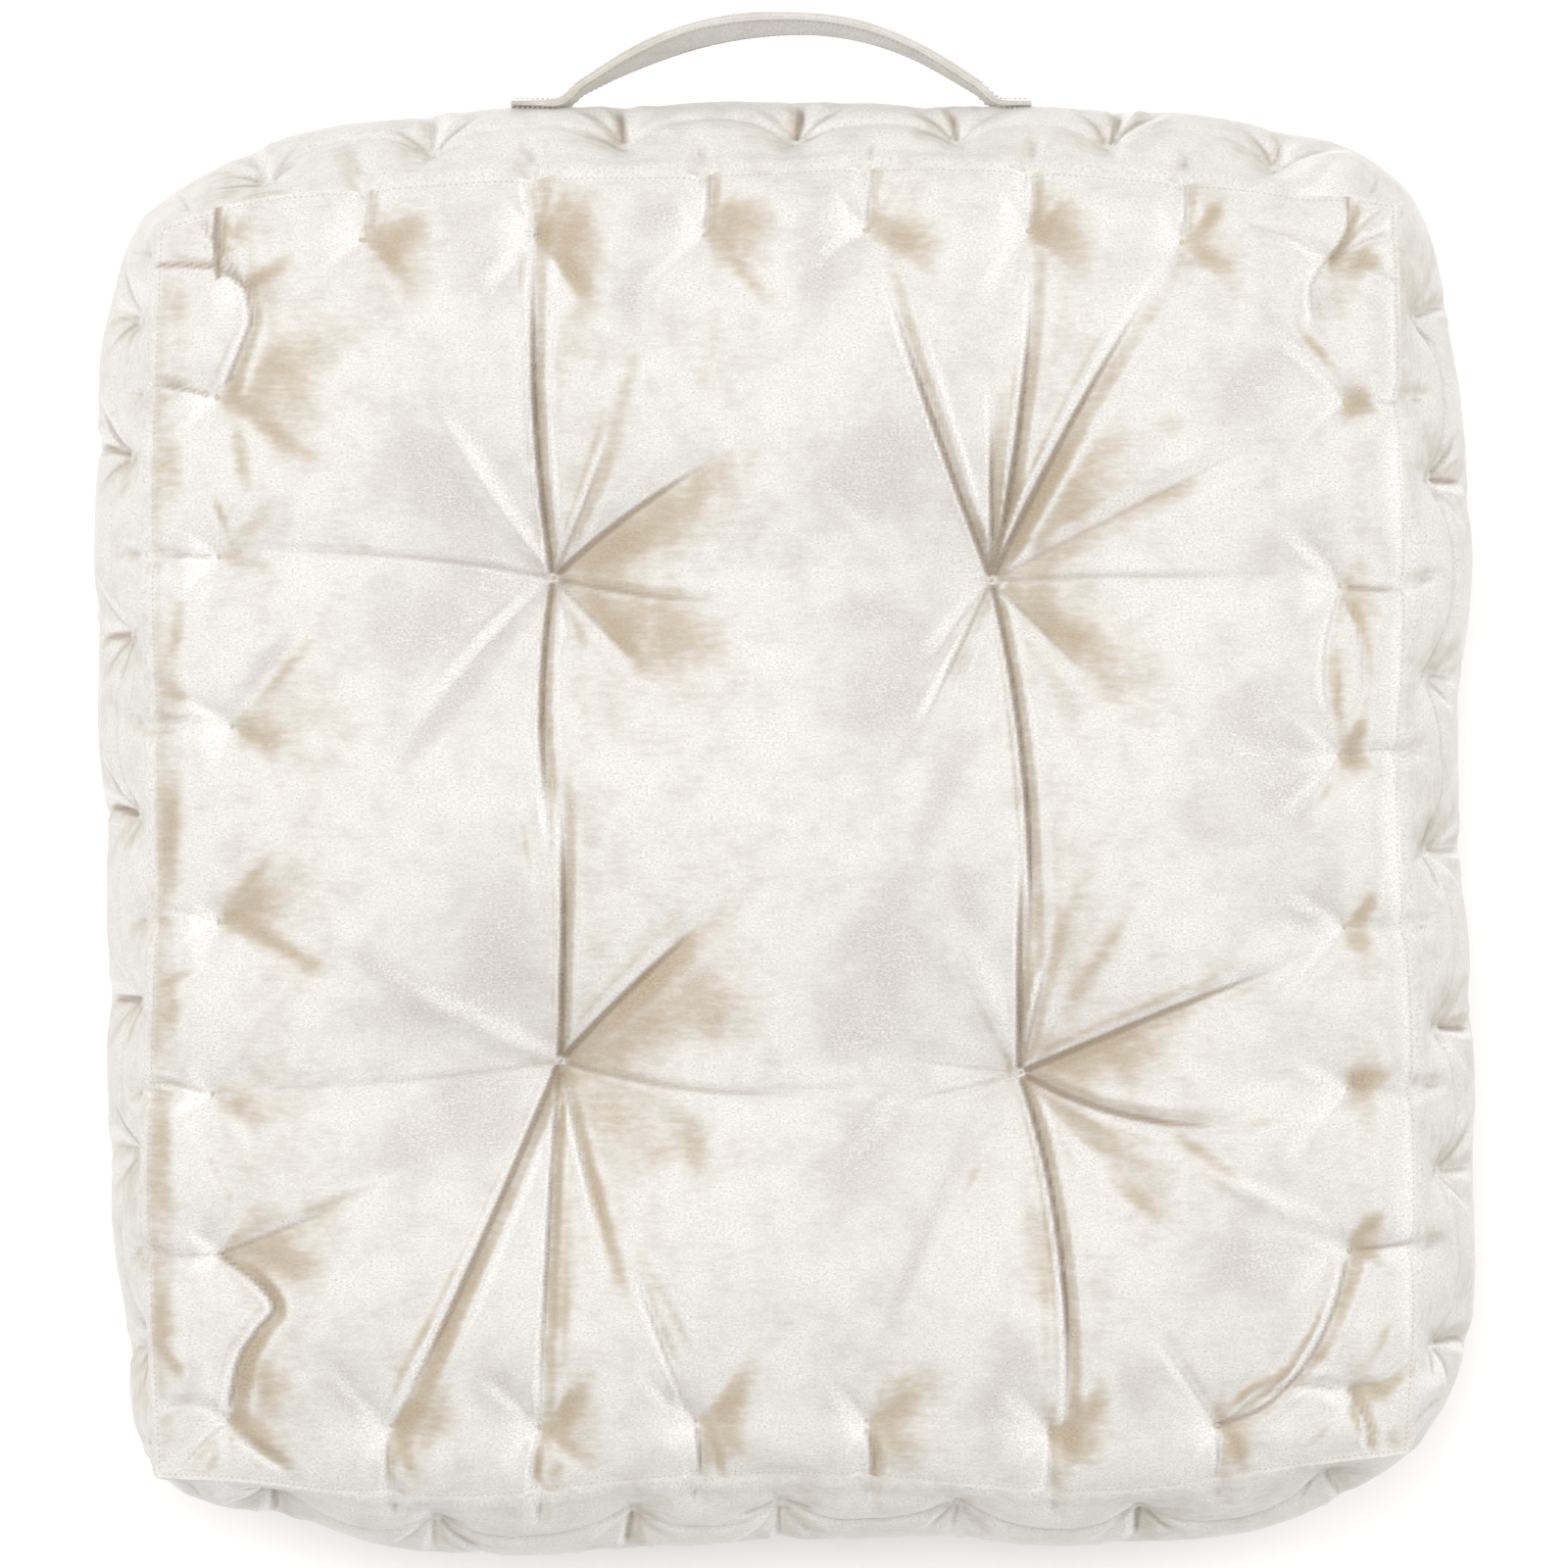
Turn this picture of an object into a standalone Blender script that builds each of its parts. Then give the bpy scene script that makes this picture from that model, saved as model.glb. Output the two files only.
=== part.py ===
"""Square tufted floor pillow with a carrying strap on its back side.

The pillow is one filled solid: a crowned top and a flattened underside, each drawn in by four
deep tufts and a ring of small rim tacks, and boxed sides that bulge between two rows of side
tacks. The strap is a separate flat band, sewn to the back side at its two ends.

Metres, +Z up, +Y towards the strap. The origin is the middle of the underside.
"""

import math
from collections import namedtuple

import bmesh
import bpy
from mathutils import Vector

# Driving sizes of the filled pillow.
HALF_WIDTH = 0.268  # seam to middle, along X
HALF_DEPTH = 0.281  # seam to middle, along Y
TOP_SEAM_Z = 0.110
BASE_SEAM_Z = 0.016
BAND_HEIGHT = TOP_SEAM_Z - BASE_SEAM_Z
CORNER_PULL = (0.012, 0.050)  # share by which corners are drawn in, along X and Y
CORNER_BLEND = 0.020  # how widely two sides' shoulders run into each other
RIM_TOLERANCE = 1e-5  # a corner of the cut box this near its side belongs to the side

# The top and the underside.
CROWN = 0.018  # rise of the top's middle over its seam
SHOULDER = 0.070  # distance over which the top climbs from seam to crown
BASE_SHOULDER = 0.060
RIM_PUFF = 0.005  # height of the roll between seam and rim tacks
RIM_ROLL = 0.016  # distance from the seam to the middle of that roll
RIM_ROLL_REACH = 0.010
SEAM_FADE = 0.006  # the roll starts from nothing at the seam, over this distance
TUCK_FADE = 0.015  # and so do the troughs

# The boxed sides.
SIDE_BULGE = 0.0315  # how far the side stands out of the seams
SIDE_ROUNDNESS = 0.7  # 1 is a plain arch, and less is fuller
CORNER_LOSS = 0.6  # share of the bulge lost at a corner
CORNER_LOSS_POWER = 8
CORNER_TURN_POWER = 14  # how sharply the bulge turns from one side to the next

# Tufts go right through; tacks hold the rim roll.
TUFTS = {
    "back_left": (-0.099, 0.107),
    "back_right": (0.089, 0.106),
    "front_left": (-0.096, -0.100),
    "front_right": (0.101, -0.105),
}
TUFT_DEPTH = 0.036
TUFT_REACH = 0.036
BASE_TUFT_DEPTH = 0.030
BASE_TUFT_REACH = 0.020
FLOOR_REST = 0.001  # what would be less than this off the floor is pressed flat on it
SIDES = ("back", "front", "left", "right")
TACK_STEPS = (0.035, 0.105, 0.172)  # rim tacks along each side, either way from its middle
TACK_RING = (0.238, 0.249)  # rim tacks to middle, along X and Y
TACK_DEPTH = 0.011
TACK_REACH = 0.017
SIDE_TACK_STEPS = (0.0, 0.070, 0.140, 0.208)
SIDE_TACK_LEVELS = (0.17, 0.83)  # share of the side's height
SIDE_TACK_DEPTH = 0.009
SIDE_TACK_REACH = 0.016
SIDE_ROW_DEPTH = 0.002  # the whole row of side tacks is drawn in this much
SIDE_ROW_REACH = 0.010
SIDE_LEVELS = (0.0, 0.06, 0.11, 0.17, 0.24, 0.36, 0.50, 0.64, 0.76, 0.83, 0.89, 0.94, 1.0)  # grid rows

# Sewn-in troughs of the top. An end is a tuft, or a rim tack as its side and its count from
# the middle of that side.
Trough = namedtuple("Trough", "start end depth half_width")
TROUGHS = (
    Trough("back_left", "front_left", 0.007, 0.011),
    Trough("back_right", "front_right", 0.007, 0.011),
    Trough("back_left", ("back", -2), 0.006, 0.011),
    Trough("back_right", ("back", 1), 0.005, 0.010),
    Trough("back_right", ("back", 3), 0.006, 0.011),
    Trough("front_left", ("front", -3), 0.006, 0.011),
    Trough("front_right", ("front", 2), 0.006, 0.011),
    Trough("back_left", ("left", 2), 0.003, 0.010),
    Trough("back_left", "back_right", 0.003, 0.010),
    Trough("front_left", ("left", -2), 0.003, 0.010),
    Trough("front_left", "front_right", 0.003, 0.010),
    Trough("front_right", ("right", -2), 0.004, 0.010),
)

# The strap: a flat band on edge, its two ends laid flat on the back side.
STRAP_WIDTH = 0.027
STRAP_THICKNESS = 0.0045
STRAP_Z = 0.063
STRAP_ENDS_X = (-0.118, 0.107)
STRAP_TABS = (0.018, 0.011)  # length sewn flat at its left and its right end
STRAP_SEAT_Y = 0.3128  # the side is flat here under each sewn end
STRAP_CREST_Y = 0.3497
STRAP_BEND = 0.10  # how softly the strap leaves the side
STRAP_ARCH = 2.35  # 2 is a parabola, and more is flatter on top
STRAP_GAP = 0.0003
STRAP_ARC_STEPS = 24
STRAP_ROWS = 4
PATCH_MARGIN = (0.004, 0.002)  # the flat seat reaches past each sewn end, along X and Z
PATCH_FADE = 0.008

IVORY_VELVET = ((0.80, 0.75, 0.68, 1.0), 0.55)
STRAP_VELVET = ((0.76, 0.71, 0.64, 1.0), 0.65)


def grid_lines(half, ring):
    """Cutting places across the box: two cells between each tack and the next one."""
    keys = sorted({0.0, half, ring, *TACK_STEPS, *SIDE_TACK_STEPS})
    lines = [0.0]
    for a, b in zip(keys, keys[1:]):
        lines += [(a + b) / 2, b]
    return [-v for v in lines[:0:-1]] + lines


def cut_box():
    """A plain box cut into a grid, which is then stuffed into shape."""
    bm = bmesh.new()
    bmesh.ops.create_cube(bm, size=2.0)
    for axis, half in enumerate((HALF_WIDTH, HALF_DEPTH)):
        for line in grid_lines(half, TACK_RING[axis])[1:-1]:
            cut(bm, axis, line / half)
    for level in SIDE_LEVELS[1:-1]:
        cut(bm, 2, 2 * level - 1)
    return bm


def cut(bm, axis, place):
    """Cuts the whole box across an axis."""
    point = [0.0, 0.0, 0.0]
    normal = [0.0, 0.0, 0.0]
    point[axis] = place
    normal[axis] = 1.0
    geometry = bm.verts[:] + bm.edges[:] + bm.faces[:]
    bmesh.ops.bisect_plane(bm, geom=geometry, dist=1e-6, plane_co=point, plane_no=normal)


def bump(distance, reach):
    """A smooth dimple: 1 at its middle, nearly 0 at twice its reach."""
    return math.exp(-((distance / reach) ** 2))


def pucker(distance, reach):
    """A dimple with a pointed middle, as a thread pulls it."""
    return math.exp(-distance / reach)


def rim_tack(side, count):
    """A rim tack's place, by its side and its count from the middle of that side."""
    ring_x, ring_y = TACK_RING
    along = math.copysign(TACK_STEPS[abs(count) - 1], count)
    places = {"back": (along, ring_y), "front": (along, -ring_y)}
    places |= {"right": (ring_x, along), "left": (-ring_x, along)}
    return places[side]


def rim_tacks():
    """Every tack of the ring round the top."""
    ring_x, ring_y = TACK_RING
    corners = [(sx * ring_x, sy * ring_y) for sx in (-1, 1) for sy in (-1, 1)]
    counts = [sign * n for n in (1, 2, 3) for sign in (-1, 1)]
    return corners + [rim_tack(side, n) for side in SIDES for n in counts]


def run_distance(x, y, start, end):
    """How far a point lies from a straight run."""
    (ax, ay), (bx, by) = start, end
    dx, dy = bx - ax, by - ay
    along = ((x - ax) * dx + (y - ay) * dy) / (dx * dx + dy * dy)
    along = min(1.0, max(0.0, along))
    return math.hypot(x - ax - along * dx, y - ay - along * dy)


def sewn_depth(x, y, tacks):
    """How far the rim tacks and the troughs draw the top in, whichever is deepest."""
    depths = [TACK_DEPTH * bump(math.hypot(x - tx, y - ty), TACK_REACH) for tx, ty in tacks]
    for trough in TROUGHS:
        ends = [TUFTS[end] if end in TUFTS else rim_tack(*end) for end in (trough.start, trough.end)]
        depths.append(trough.depth * bump(run_distance(x, y, *ends), trough.half_width))
    return max(depths)


def edge_distance(x, y):
    """Distance in from the seam, rounded off where two sides meet."""
    ex = HALF_WIDTH - abs(x)
    ey = HALF_DEPTH - abs(y)
    low = min(ex, ey)
    loss = CORNER_BLEND * math.log1p(math.exp(-abs(ex - ey) / CORNER_BLEND))
    return low - loss * min(1.0, low / CORNER_BLEND)


def climb(distance, shoulder):
    """Rises from 0 at the seam to 1 past the shoulder, steepest at the seam."""
    t = min(1.0, max(0.0, distance / shoulder))
    return 1 - (1 - t) ** 2


def top_height(x, y, tacks):
    edge = edge_distance(x, y)
    height = TOP_SEAM_Z + CROWN * climb(edge, SHOULDER)
    height += RIM_PUFF * bump(edge - RIM_ROLL, RIM_ROLL_REACH) * min(1.0, edge / SEAM_FADE)
    for tx, ty in TUFTS.values():
        height -= TUFT_DEPTH * pucker(math.hypot(x - tx, y - ty), TUFT_REACH)
    return height - sewn_depth(x, y, tacks) * min(1.0, edge / TUCK_FADE)


def base_point(x, y):
    """A point of the underside: flat on the floor, but for its tufts and its rounded edge."""
    off_floor = 1 - climb(edge_distance(x, y), BASE_SHOULDER)
    if BASE_SEAM_Z * off_floor < FLOOR_REST:
        off_floor = 0.0
    z = BASE_SEAM_Z * off_floor
    for tx, ty in TUFTS.values():
        lift = BASE_TUFT_DEPTH * pucker(math.hypot(x - tx, y - ty), BASE_TUFT_REACH)
        z += max(0.0, lift - FLOOR_REST)
    pulled_x, pulled_y = drawn_in(x, y)
    share = math.sqrt(off_floor)
    return Vector((x + (pulled_x - x) * share, y + (pulled_y - y) * share, z))


def side_offset(level, along, corner):
    """How far the boxed side stands out. level is the share of its height, along the place
    from its middle, and corner runs from 0 at its middle to 1 at a corner."""
    out = SIDE_BULGE * math.sin(math.pi * level) ** SIDE_ROUNDNESS
    for row in SIDE_TACK_LEVELS:
        drop = (level - row) * BAND_HEIGHT
        out -= SIDE_ROW_DEPTH * bump(drop, SIDE_ROW_REACH)
        for step in SIDE_TACK_STEPS:
            for place in {-step, step}:
                distance = math.hypot(along - place, drop)
                out -= SIDE_TACK_DEPTH * bump(distance, SIDE_TACK_REACH)
    return max(0.0, out) * (1 - CORNER_LOSS * corner**CORNER_LOSS_POWER)


def strap_tabs():
    """The stretches of the strap along X that are sewn flat, left and right."""
    (left, right), (left_tab, right_tab) = STRAP_ENDS_X, STRAP_TABS
    return (left, left + left_tab), (right - right_tab, right)


def sewn_patch(x, z):
    """1 under the strap's two sewn ends, fading to 0 round them."""
    margin_x, margin_z = PATCH_MARGIN
    past_x = min(max(0.0, a - margin_x - x, x - b - margin_x) for a, b in strap_tabs())
    past_z = max(0.0, abs(z - STRAP_Z) - STRAP_WIDTH / 2 - margin_z)
    return bump(math.hypot(past_x, past_z), PATCH_FADE)


def drawn_in(x, y):
    """Place in plan with the corners drawn in."""
    u, v = abs(x / HALF_WIDTH), abs(y / HALF_DEPTH)
    pull_x, pull_y = CORNER_PULL
    return x * (1 - pull_x * v**3), y * (1 - pull_y * u**3)


def side_point(u, v, level):
    """A point of the boxed side, from its place on the plain box."""
    x, y = drawn_in(u * HALF_WIDTH, v * HALF_DEPTH)
    on_x_side = abs(u) > abs(v)
    along = v * HALF_DEPTH if on_x_side else u * HALF_WIDTH
    z = BASE_SEAM_Z + BAND_HEIGHT * level
    out = side_offset(level, along, abs(u * v))
    x += math.copysign(out * abs(u) ** CORNER_TURN_POWER, u)
    y += math.copysign(out * abs(v) ** CORNER_TURN_POWER, v)
    if v > 1 - RIM_TOLERANCE:
        y += (STRAP_SEAT_Y - y) * sewn_patch(along, z)
    return Vector((x, y, z))


def gather_to_tufts(verts):
    """Draws the nearest corner of the grid to each tuft, so that each comes to a point."""
    for tx, ty in TUFTS.values():
        place = Vector((tx / HALF_WIDTH, ty / HALF_DEPTH))
        nearest = min(verts, key=lambda v: (v.co.xy - place).length)
        nearest.co.xy = place


def stuff(bm):
    """Moves the cut box's corners to the filled pillow's surface."""
    tacks = rim_tacks()
    rim = {v for v in bm.verts if max(abs(v.co.x), abs(v.co.y)) > 1 - RIM_TOLERANCE}
    top = [v for v in bm.verts if v not in rim and v.co.z > 0]
    base = [v for v in bm.verts if v not in rim and v.co.z < 0]
    gather_to_tufts(top)
    gather_to_tufts(base)
    for vert in rim:
        u, v, w = vert.co
        vert.co = side_point(u, v, (w + 1) / 2)
    for vert in top:
        x, y = vert.co.x * HALF_WIDTH, vert.co.y * HALF_DEPTH
        vert.co = (*drawn_in(x, y), top_height(x, y, tacks))
    for vert in base:
        vert.co = base_point(vert.co.x * HALF_WIDTH, vert.co.y * HALF_DEPTH)


def strap_line():
    """The strap's middle line in plan: flat ends on the side, and an arc between them."""
    (left, start), (stop, right) = strap_tabs()
    seat = STRAP_SEAT_Y + STRAP_GAP + STRAP_THICKNESS / 2
    line = [(left, seat), ((left + start) / 2, seat)]
    for i in range(STRAP_ARC_STEPS + 1):
        t = i / STRAP_ARC_STEPS
        arch = 1 - abs(2 * t - 1) ** STRAP_ARCH
        rise = (math.hypot(arch, STRAP_BEND) - STRAP_BEND) / (math.hypot(1, STRAP_BEND) - STRAP_BEND)
        line.append((start + (stop - start) * t, seat + (STRAP_CREST_Y - seat) * rise))
    return line + [((stop + right) / 2, seat), (right, seat)]


def sewn_strap(collection):
    """A band whose middle surface is extruded up from its plan line, then given its thickness."""
    bm = bmesh.new()
    low = STRAP_Z - STRAP_WIDTH / 2
    verts = [bm.verts.new((x, y, low)) for x, y in strap_line()]
    edges = [bm.edges.new(pair) for pair in zip(verts, verts[1:])]
    for _ in range(STRAP_ROWS):
        grown = bmesh.ops.extrude_edge_only(bm, edges=edges)["geom"]
        moved = [g for g in grown if isinstance(g, bmesh.types.BMVert)]
        edges = [g for g in grown if isinstance(g, bmesh.types.BMEdge)]
        edges = [e for e in edges if all(v in moved for v in e.verts)]
        bmesh.ops.translate(bm, verts=moved, vec=(0, 0, STRAP_WIDTH / STRAP_ROWS))
    bmesh.ops.recalc_face_normals(bm, faces=bm.faces)
    strap = as_object(bm, "handle_strap", collection, STRAP_VELVET)
    solid = strap.modifiers.new("thickness", "SOLIDIFY")
    solid.thickness = STRAP_THICKNESS
    solid.offset = 0.0
    return strap


def as_object(bm, name, collection, finish):
    mesh = bpy.data.meshes.new(name)
    bm.to_mesh(mesh)
    bm.free()
    mesh.shade_smooth()
    mesh.materials.append(velvet(name, *finish))
    made = bpy.data.objects.new(name, mesh)
    collection.objects.link(made)
    return made


def velvet(name, colour, roughness):
    material = bpy.data.materials.new(name + "_velvet")
    material.use_nodes = True
    shader = material.node_tree.nodes["Principled BSDF"]
    shader.inputs["Base Color"].default_value = colour
    shader.inputs["Roughness"].default_value = roughness
    shader.inputs["Metallic"].default_value = 0.0
    return material


def main():
    for old in list(bpy.data.objects):
        bpy.data.objects.remove(old)
    collection = bpy.data.collections.new("tufted_floor_pillow")
    bpy.context.scene.collection.children.link(collection)
    body = cut_box()
    stuff(body)
    as_object(body, "pillow", collection, IVORY_VELVET)
    sewn_strap(collection)


main()
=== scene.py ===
"""Tufted floor pillow in crushed ivory velvet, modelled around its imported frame.

The cover is sewn from a top panel, a boxing band and an underside panel. Through tufts, rim
tacks and side tacks draw it in, and each fold is pressed into the cloth from a row of a table.
Everything is in metres, but for the tables, which are in millimetres and degrees.
"""

import math
from collections import namedtuple

import bmesh
import bpy
import numpy as np
from mathutils import Matrix, Vector, kdtree, noise


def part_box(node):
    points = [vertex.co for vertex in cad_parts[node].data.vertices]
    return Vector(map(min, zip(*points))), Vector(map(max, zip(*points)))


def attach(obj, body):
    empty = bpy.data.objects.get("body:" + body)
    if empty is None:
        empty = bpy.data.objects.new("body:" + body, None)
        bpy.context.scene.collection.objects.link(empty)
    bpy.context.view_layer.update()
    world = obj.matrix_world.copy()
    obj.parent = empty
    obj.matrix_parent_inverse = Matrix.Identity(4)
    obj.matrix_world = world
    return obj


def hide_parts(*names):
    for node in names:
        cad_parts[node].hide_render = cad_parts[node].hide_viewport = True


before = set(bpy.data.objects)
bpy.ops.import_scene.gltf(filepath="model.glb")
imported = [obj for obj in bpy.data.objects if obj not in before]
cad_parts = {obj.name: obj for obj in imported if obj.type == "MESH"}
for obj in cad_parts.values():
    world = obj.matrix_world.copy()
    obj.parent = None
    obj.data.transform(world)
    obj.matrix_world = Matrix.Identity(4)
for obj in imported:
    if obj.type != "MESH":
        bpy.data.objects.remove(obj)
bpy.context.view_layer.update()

bl_info = {
    "name": "Tufted Floor Pillow",
    "version": (1, 0, 0),
    "blender": (4, 5, 0),
    "location": "View3D > Sidebar > Floor Pillow",
    "description": "Sews a square velvet floor pillow with tufts, tacked rims and a carrying strap",
    "category": "Add Mesh",
}

STRAP_LOW, STRAP_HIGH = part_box("handle_strap")

MM = 0.001

# ------------------------------------------------------------------------------------------
# The pillow's plan. Points are in millimetres from the middle, and run towards +X or +Y.

TOP_SEAM_Z = 0.110
BASE_SEAM_Z = 0.016
BAND_HEIGHT = TOP_SEAM_Z - BASE_SEAM_Z

TOP_SEAM = {
    "front": ((-267, -276), (-229, -278), (-188, -283), (-104, -283), (-75, -279), (-21, -276),
              (42, -277), (83, -280), (117, -283), (167, -280), (208, -273), (266, -266)),
    "back": ((-266, 255), (-242, 263), (-167, 273), (-106, 277), (-42, 278), (21, 281),
             (83, 281), (167, 275), (208, 271), (261, 266)),
    "left": ((-267, -276), (-269, -231), (-272, -169), (-271, -106), (-268, -23), (-268, 40),
             (-270, 102), (-269, 177), (-266, 255)),
    "right": ((266, -266), (269, -211), (269, -127), (267, -65), (263, -15), (263, 40),
              (265, 102), (263, 165), (261, 266)),
}
WAIST = {
    "front": ((-274, -279), (-259, -289), (-238, -295), (-204, -302), (-170, -312), (-85, -314),
              (-21, -311), (42, -308), (128, -311), (170, -309), (230, -296), (275, -268)),
    "back": ((-279, 265), (-255, 280), (-225, 296), (-183, 306), (-149, 310), (-85, 313),
             (104, 313), (170, 310), (212, 303), (255, 289), (274, 274)),
    "left": ((-274, -279), (-281, -257), (-285, -215), (-291, -172), (-293, -66), (-295, -3),
             (-298, 61), (-299, 146), (-298, 180), (-295, 218), (-279, 265)),
    "right": ((275, -268), (287, -249), (296, -224), (299, -173), (298, -66), (295, -24),
              (293, 40), (298, 104), (296, 168), (289, 218), (274, 274)),
}
SIDES = ("front", "right", "back", "left")  # a walk round the pillow, anticlockwise from above
ALONG_X = ("front", "back")
WALKED_BACKWARDS = ("back", "left")  # from the end of their points to the start
OUTWARD_HEADING = {"front": -90, "right": 0, "back": 90, "left": 180}

TUFTS = {
    "back_left": (-99, 107),
    "back_right": (89, 106),
    "front_left": (-96, -100),
    "front_right": (101, -105),
}
RIM_TACKS = {
    "front": ((-167, -254), (-104, -255), (-37, -252), (35, -252), (113, -257), (184, -254)),
    "back": ((-179, 250), (-106, 252), (-34, 252), (35, 254), (104, 254), (169, 249)),
    "left": ((-240, -181), (-243, -113), (-240, -40), (-234, 43), (-240, 115), (-241, 183)),
    "right": ((240, -179), (240, -111), (238, -42), (236, 31), (236, 103), (238, 181)),
}
CORNER_TACKS = ((-236, -252), (240, -239), (231, 241), (-229, 231))
CORNER_HEADINGS = (-135, -45, 45, 135)
SIDE_TACKS = {  # places along each side, below its seam and above its lower seam
    "front": (-217, -148, -64, -2, 72, 149, 230),
    "back": (-218, -147, -67, 4, 72, 135, 206),
    "left": (-220, -139, -75, 2, 79, 154, 214),
    "right": (-222, -148, -86, -11, 62, 146, 215),
}

# Folds of the top, listed by the tuft or the point that they start at. Each runs on a heading,
# anticlockwise from +X, from near to far. It sags sideways by bow, to the left of its heading. A
# negative depth is a raised ridge, and lip is how high the cloth stands up along both sides of a
# groove. In order: heading, near, far, bow, width, depth and lip.
FOLDS = {
    "back_left": (
        (92, 0, 172, 4, 3.2, 6.2, 2.1), (68, 0, 85, -2, 3, 4, 1), (34, 0, 104, 3, 8, 6, 0.8),
        (-7, 0, 95, -3, 3, 4.5, 0.5), (0, 43, 150, 1, 2, 1.5, 0.2),
        (177, 0, 168, -5, 2.2, 3.5, 0.5), (124, 3, 119, 3, 5, -2, 0),
        (-89.5, 0, 128, -4, 3, 6.2, 1.8), (-129, 0, 99, -3, 5, 2.2, 0.4),
        (-45, 0, 71, 0, 6, 4, 0.5), (-70, 0, 38, 0, 5, 3, 0.2),
    ),
    "back_right": (
        (110, 0, 156, 2, 3.4, 6.2, 2.3), (91, 3, 88, 0, 3, 5, 1.5), (84, 3, 149, -4, 3, 6, 1.6),
        (60.5, 0, 164, 4, 4.5, 6.2, 2.1), (-1, 0, 147, 2, 2, 3.5, 0.5),
        (27, 3, 167, 0, 6, 3.5, 0.8), (-46, 3, 80, 0, 7, 4, 0.5), (-86.6, 0, 205, 8, 3, 6.2, 2),
        (-116, 0, 80, 0, 3.5, 4, 0.8), (-129, 0, 50, 0, 5, 3, 0.5),
    ),
    "front_left": (
        (185.5, 0, 145, 1, 2, 3, 0.5), (152.6, 0, 109, 3, 7, -2.2, 0),
        (43.4, 0, 108, 2, 5, 6, 1.2), (-3.7, 0, 149, -7, 2.5, 4, 0.5),
        (90, 0, 134, -2.5, 3, 6.2, 1.8), (-115, 0, 208, 3, 4, 6.2, 2.1),
        (-93, 3, 192, 0, 3, 4.6, 1.1), (-76, 3, 101, 0, 3, 4, 0.8),
        (-69.5, 84, 186, 0, 3.4, 3.6, 0.8),
    ),
    "front_right": (
        (78, 0, 64, 0, 3, 4, 0.8), (116, 0, 78, 0, 7, -2.4, 0), (172, 3, 66, 0, 6, 3, 0.5),
        (192, 0, 70, 0, 2.2, 3, 0.5), (22.5, 0, 147, 2, 4, 6, 1), (-10, 0, 109, -9, 4, 6.2, 1.3),
        (-85.7, 0, 184, 11, 3.2, 6.2, 2), (-47, 3, 78, 0, 6, 3, 0.5),
        (-27.5, 80, 155, 0, 6, -2.5, 0), (90, 0, 112, 1, 3, 6, 1),
    ),
    (-240, -181): (
        (22, 0, 77, 0, 4, 4, 0.5),
    ),
    (184, -254): (
        (123, 0, 62, 0, 4, 3, 0.5),
    ),
    (236, 103): (
        (-90, 2, 72, -8, 3, 3, 0.5), (-90, 2, 72, 9, 3, 3, 0.5),
    ),
}

# Folds of the corners, which wander through points.
Tuck = namedtuple("Tuck", "width depth lip points")
TUCKS = (
    Tuck(3.2, 5.0, 1.6, ((-240, -181), (-224, -192), (-216, -203), (-223, -213), (-231, -226),
                         (-236, -250))),
    Tuck(3.0, 4.5, 1.4, ((-229, 231), (-226, 217), (-229, 206), (-239, 183))),
    Tuck(2.4, 6.0, 1.4, ((-240, 234), (-241, 250), (-240, 270))),
    Tuck(2.4, 5.0, 1.4, ((-229, 230), (-239, 237), (-250, 239), (-272, 239))),
    Tuck(2.6, 4.5, 1.4, ((231, 241), (239, 253), (240, 264), (236, 282))),
    Tuck(2.4, 3.5, 1.0, ((234, 242), (246, 249), (260, 254))),
    Tuck(2.4, 3.0, 1.0, ((240, 239), (250, 236), (266, 230))),
    Tuck(2.8, 3.0, 1.2, ((197, 255), (214, 251), (231, 241))),
    Tuck(2.8, 3.5, 1.2, ((229, 240), (223, 228), (224, 212))),
    Tuck(3.2, 4.5, 1.6, ((184, -254), (205, -244), (223, -224), (234, -201), (240, -179))),
    Tuck(3.0, 3.5, 1.2, ((186, -254), (202, -240), (221, -236), (239, -240))),
    Tuck(2.8, 3.5, 1.2, ((-236, -252), (-227, -262), (-210, -272))),
    Tuck(2.6, 3.0, 1.0, ((-236, -251), (-250, -244), (-266, -247))),
    Tuck(2.6, 3.5, 1.2, ((240, -239), (247, -252), (248, -268))),
    Tuck(2.6, 3.0, 1.0, ((240, -238), (253, -236), (270, -226))),
)

RAY_START = 1.0  # how far from its tack a ray starts
RAY_LIP = 0.35  # how high its lips stand, as a share of its depth
# Short folds round each rim tack, turned from the heading out of the pillow.
Ray = namedtuple("Ray", "turn reach width depth")
RIM_RAYS = (
    Ray(0, 44, 2.4, 3.8),
    Ray(-36, 20, 2.6, 1.5),
    Ray(40, 20, 2.6, 1.5),
    Ray(142, 34, 5.0, 1.6),
    Ray(-138, 38, 5.0, 1.6),
    Ray(180, 24, 3.5, 1.2),
)
# And round each side tack, turned from straight down.
SIDE_RAYS = (
    Ray(0, 30, 4.6, 4.4),
    Ray(-48, 28, 4.0, 2.8),
    Ray(46, 28, 4.0, 2.8),
    Ray(-95, 20, 3.5, 2.5),
    Ray(95, 20, 3.5, 2.5),
    Ray(160, 14, 3.0, 2.0),
    Ray(-160, 14, 3.0, 2.0),
)

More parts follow.
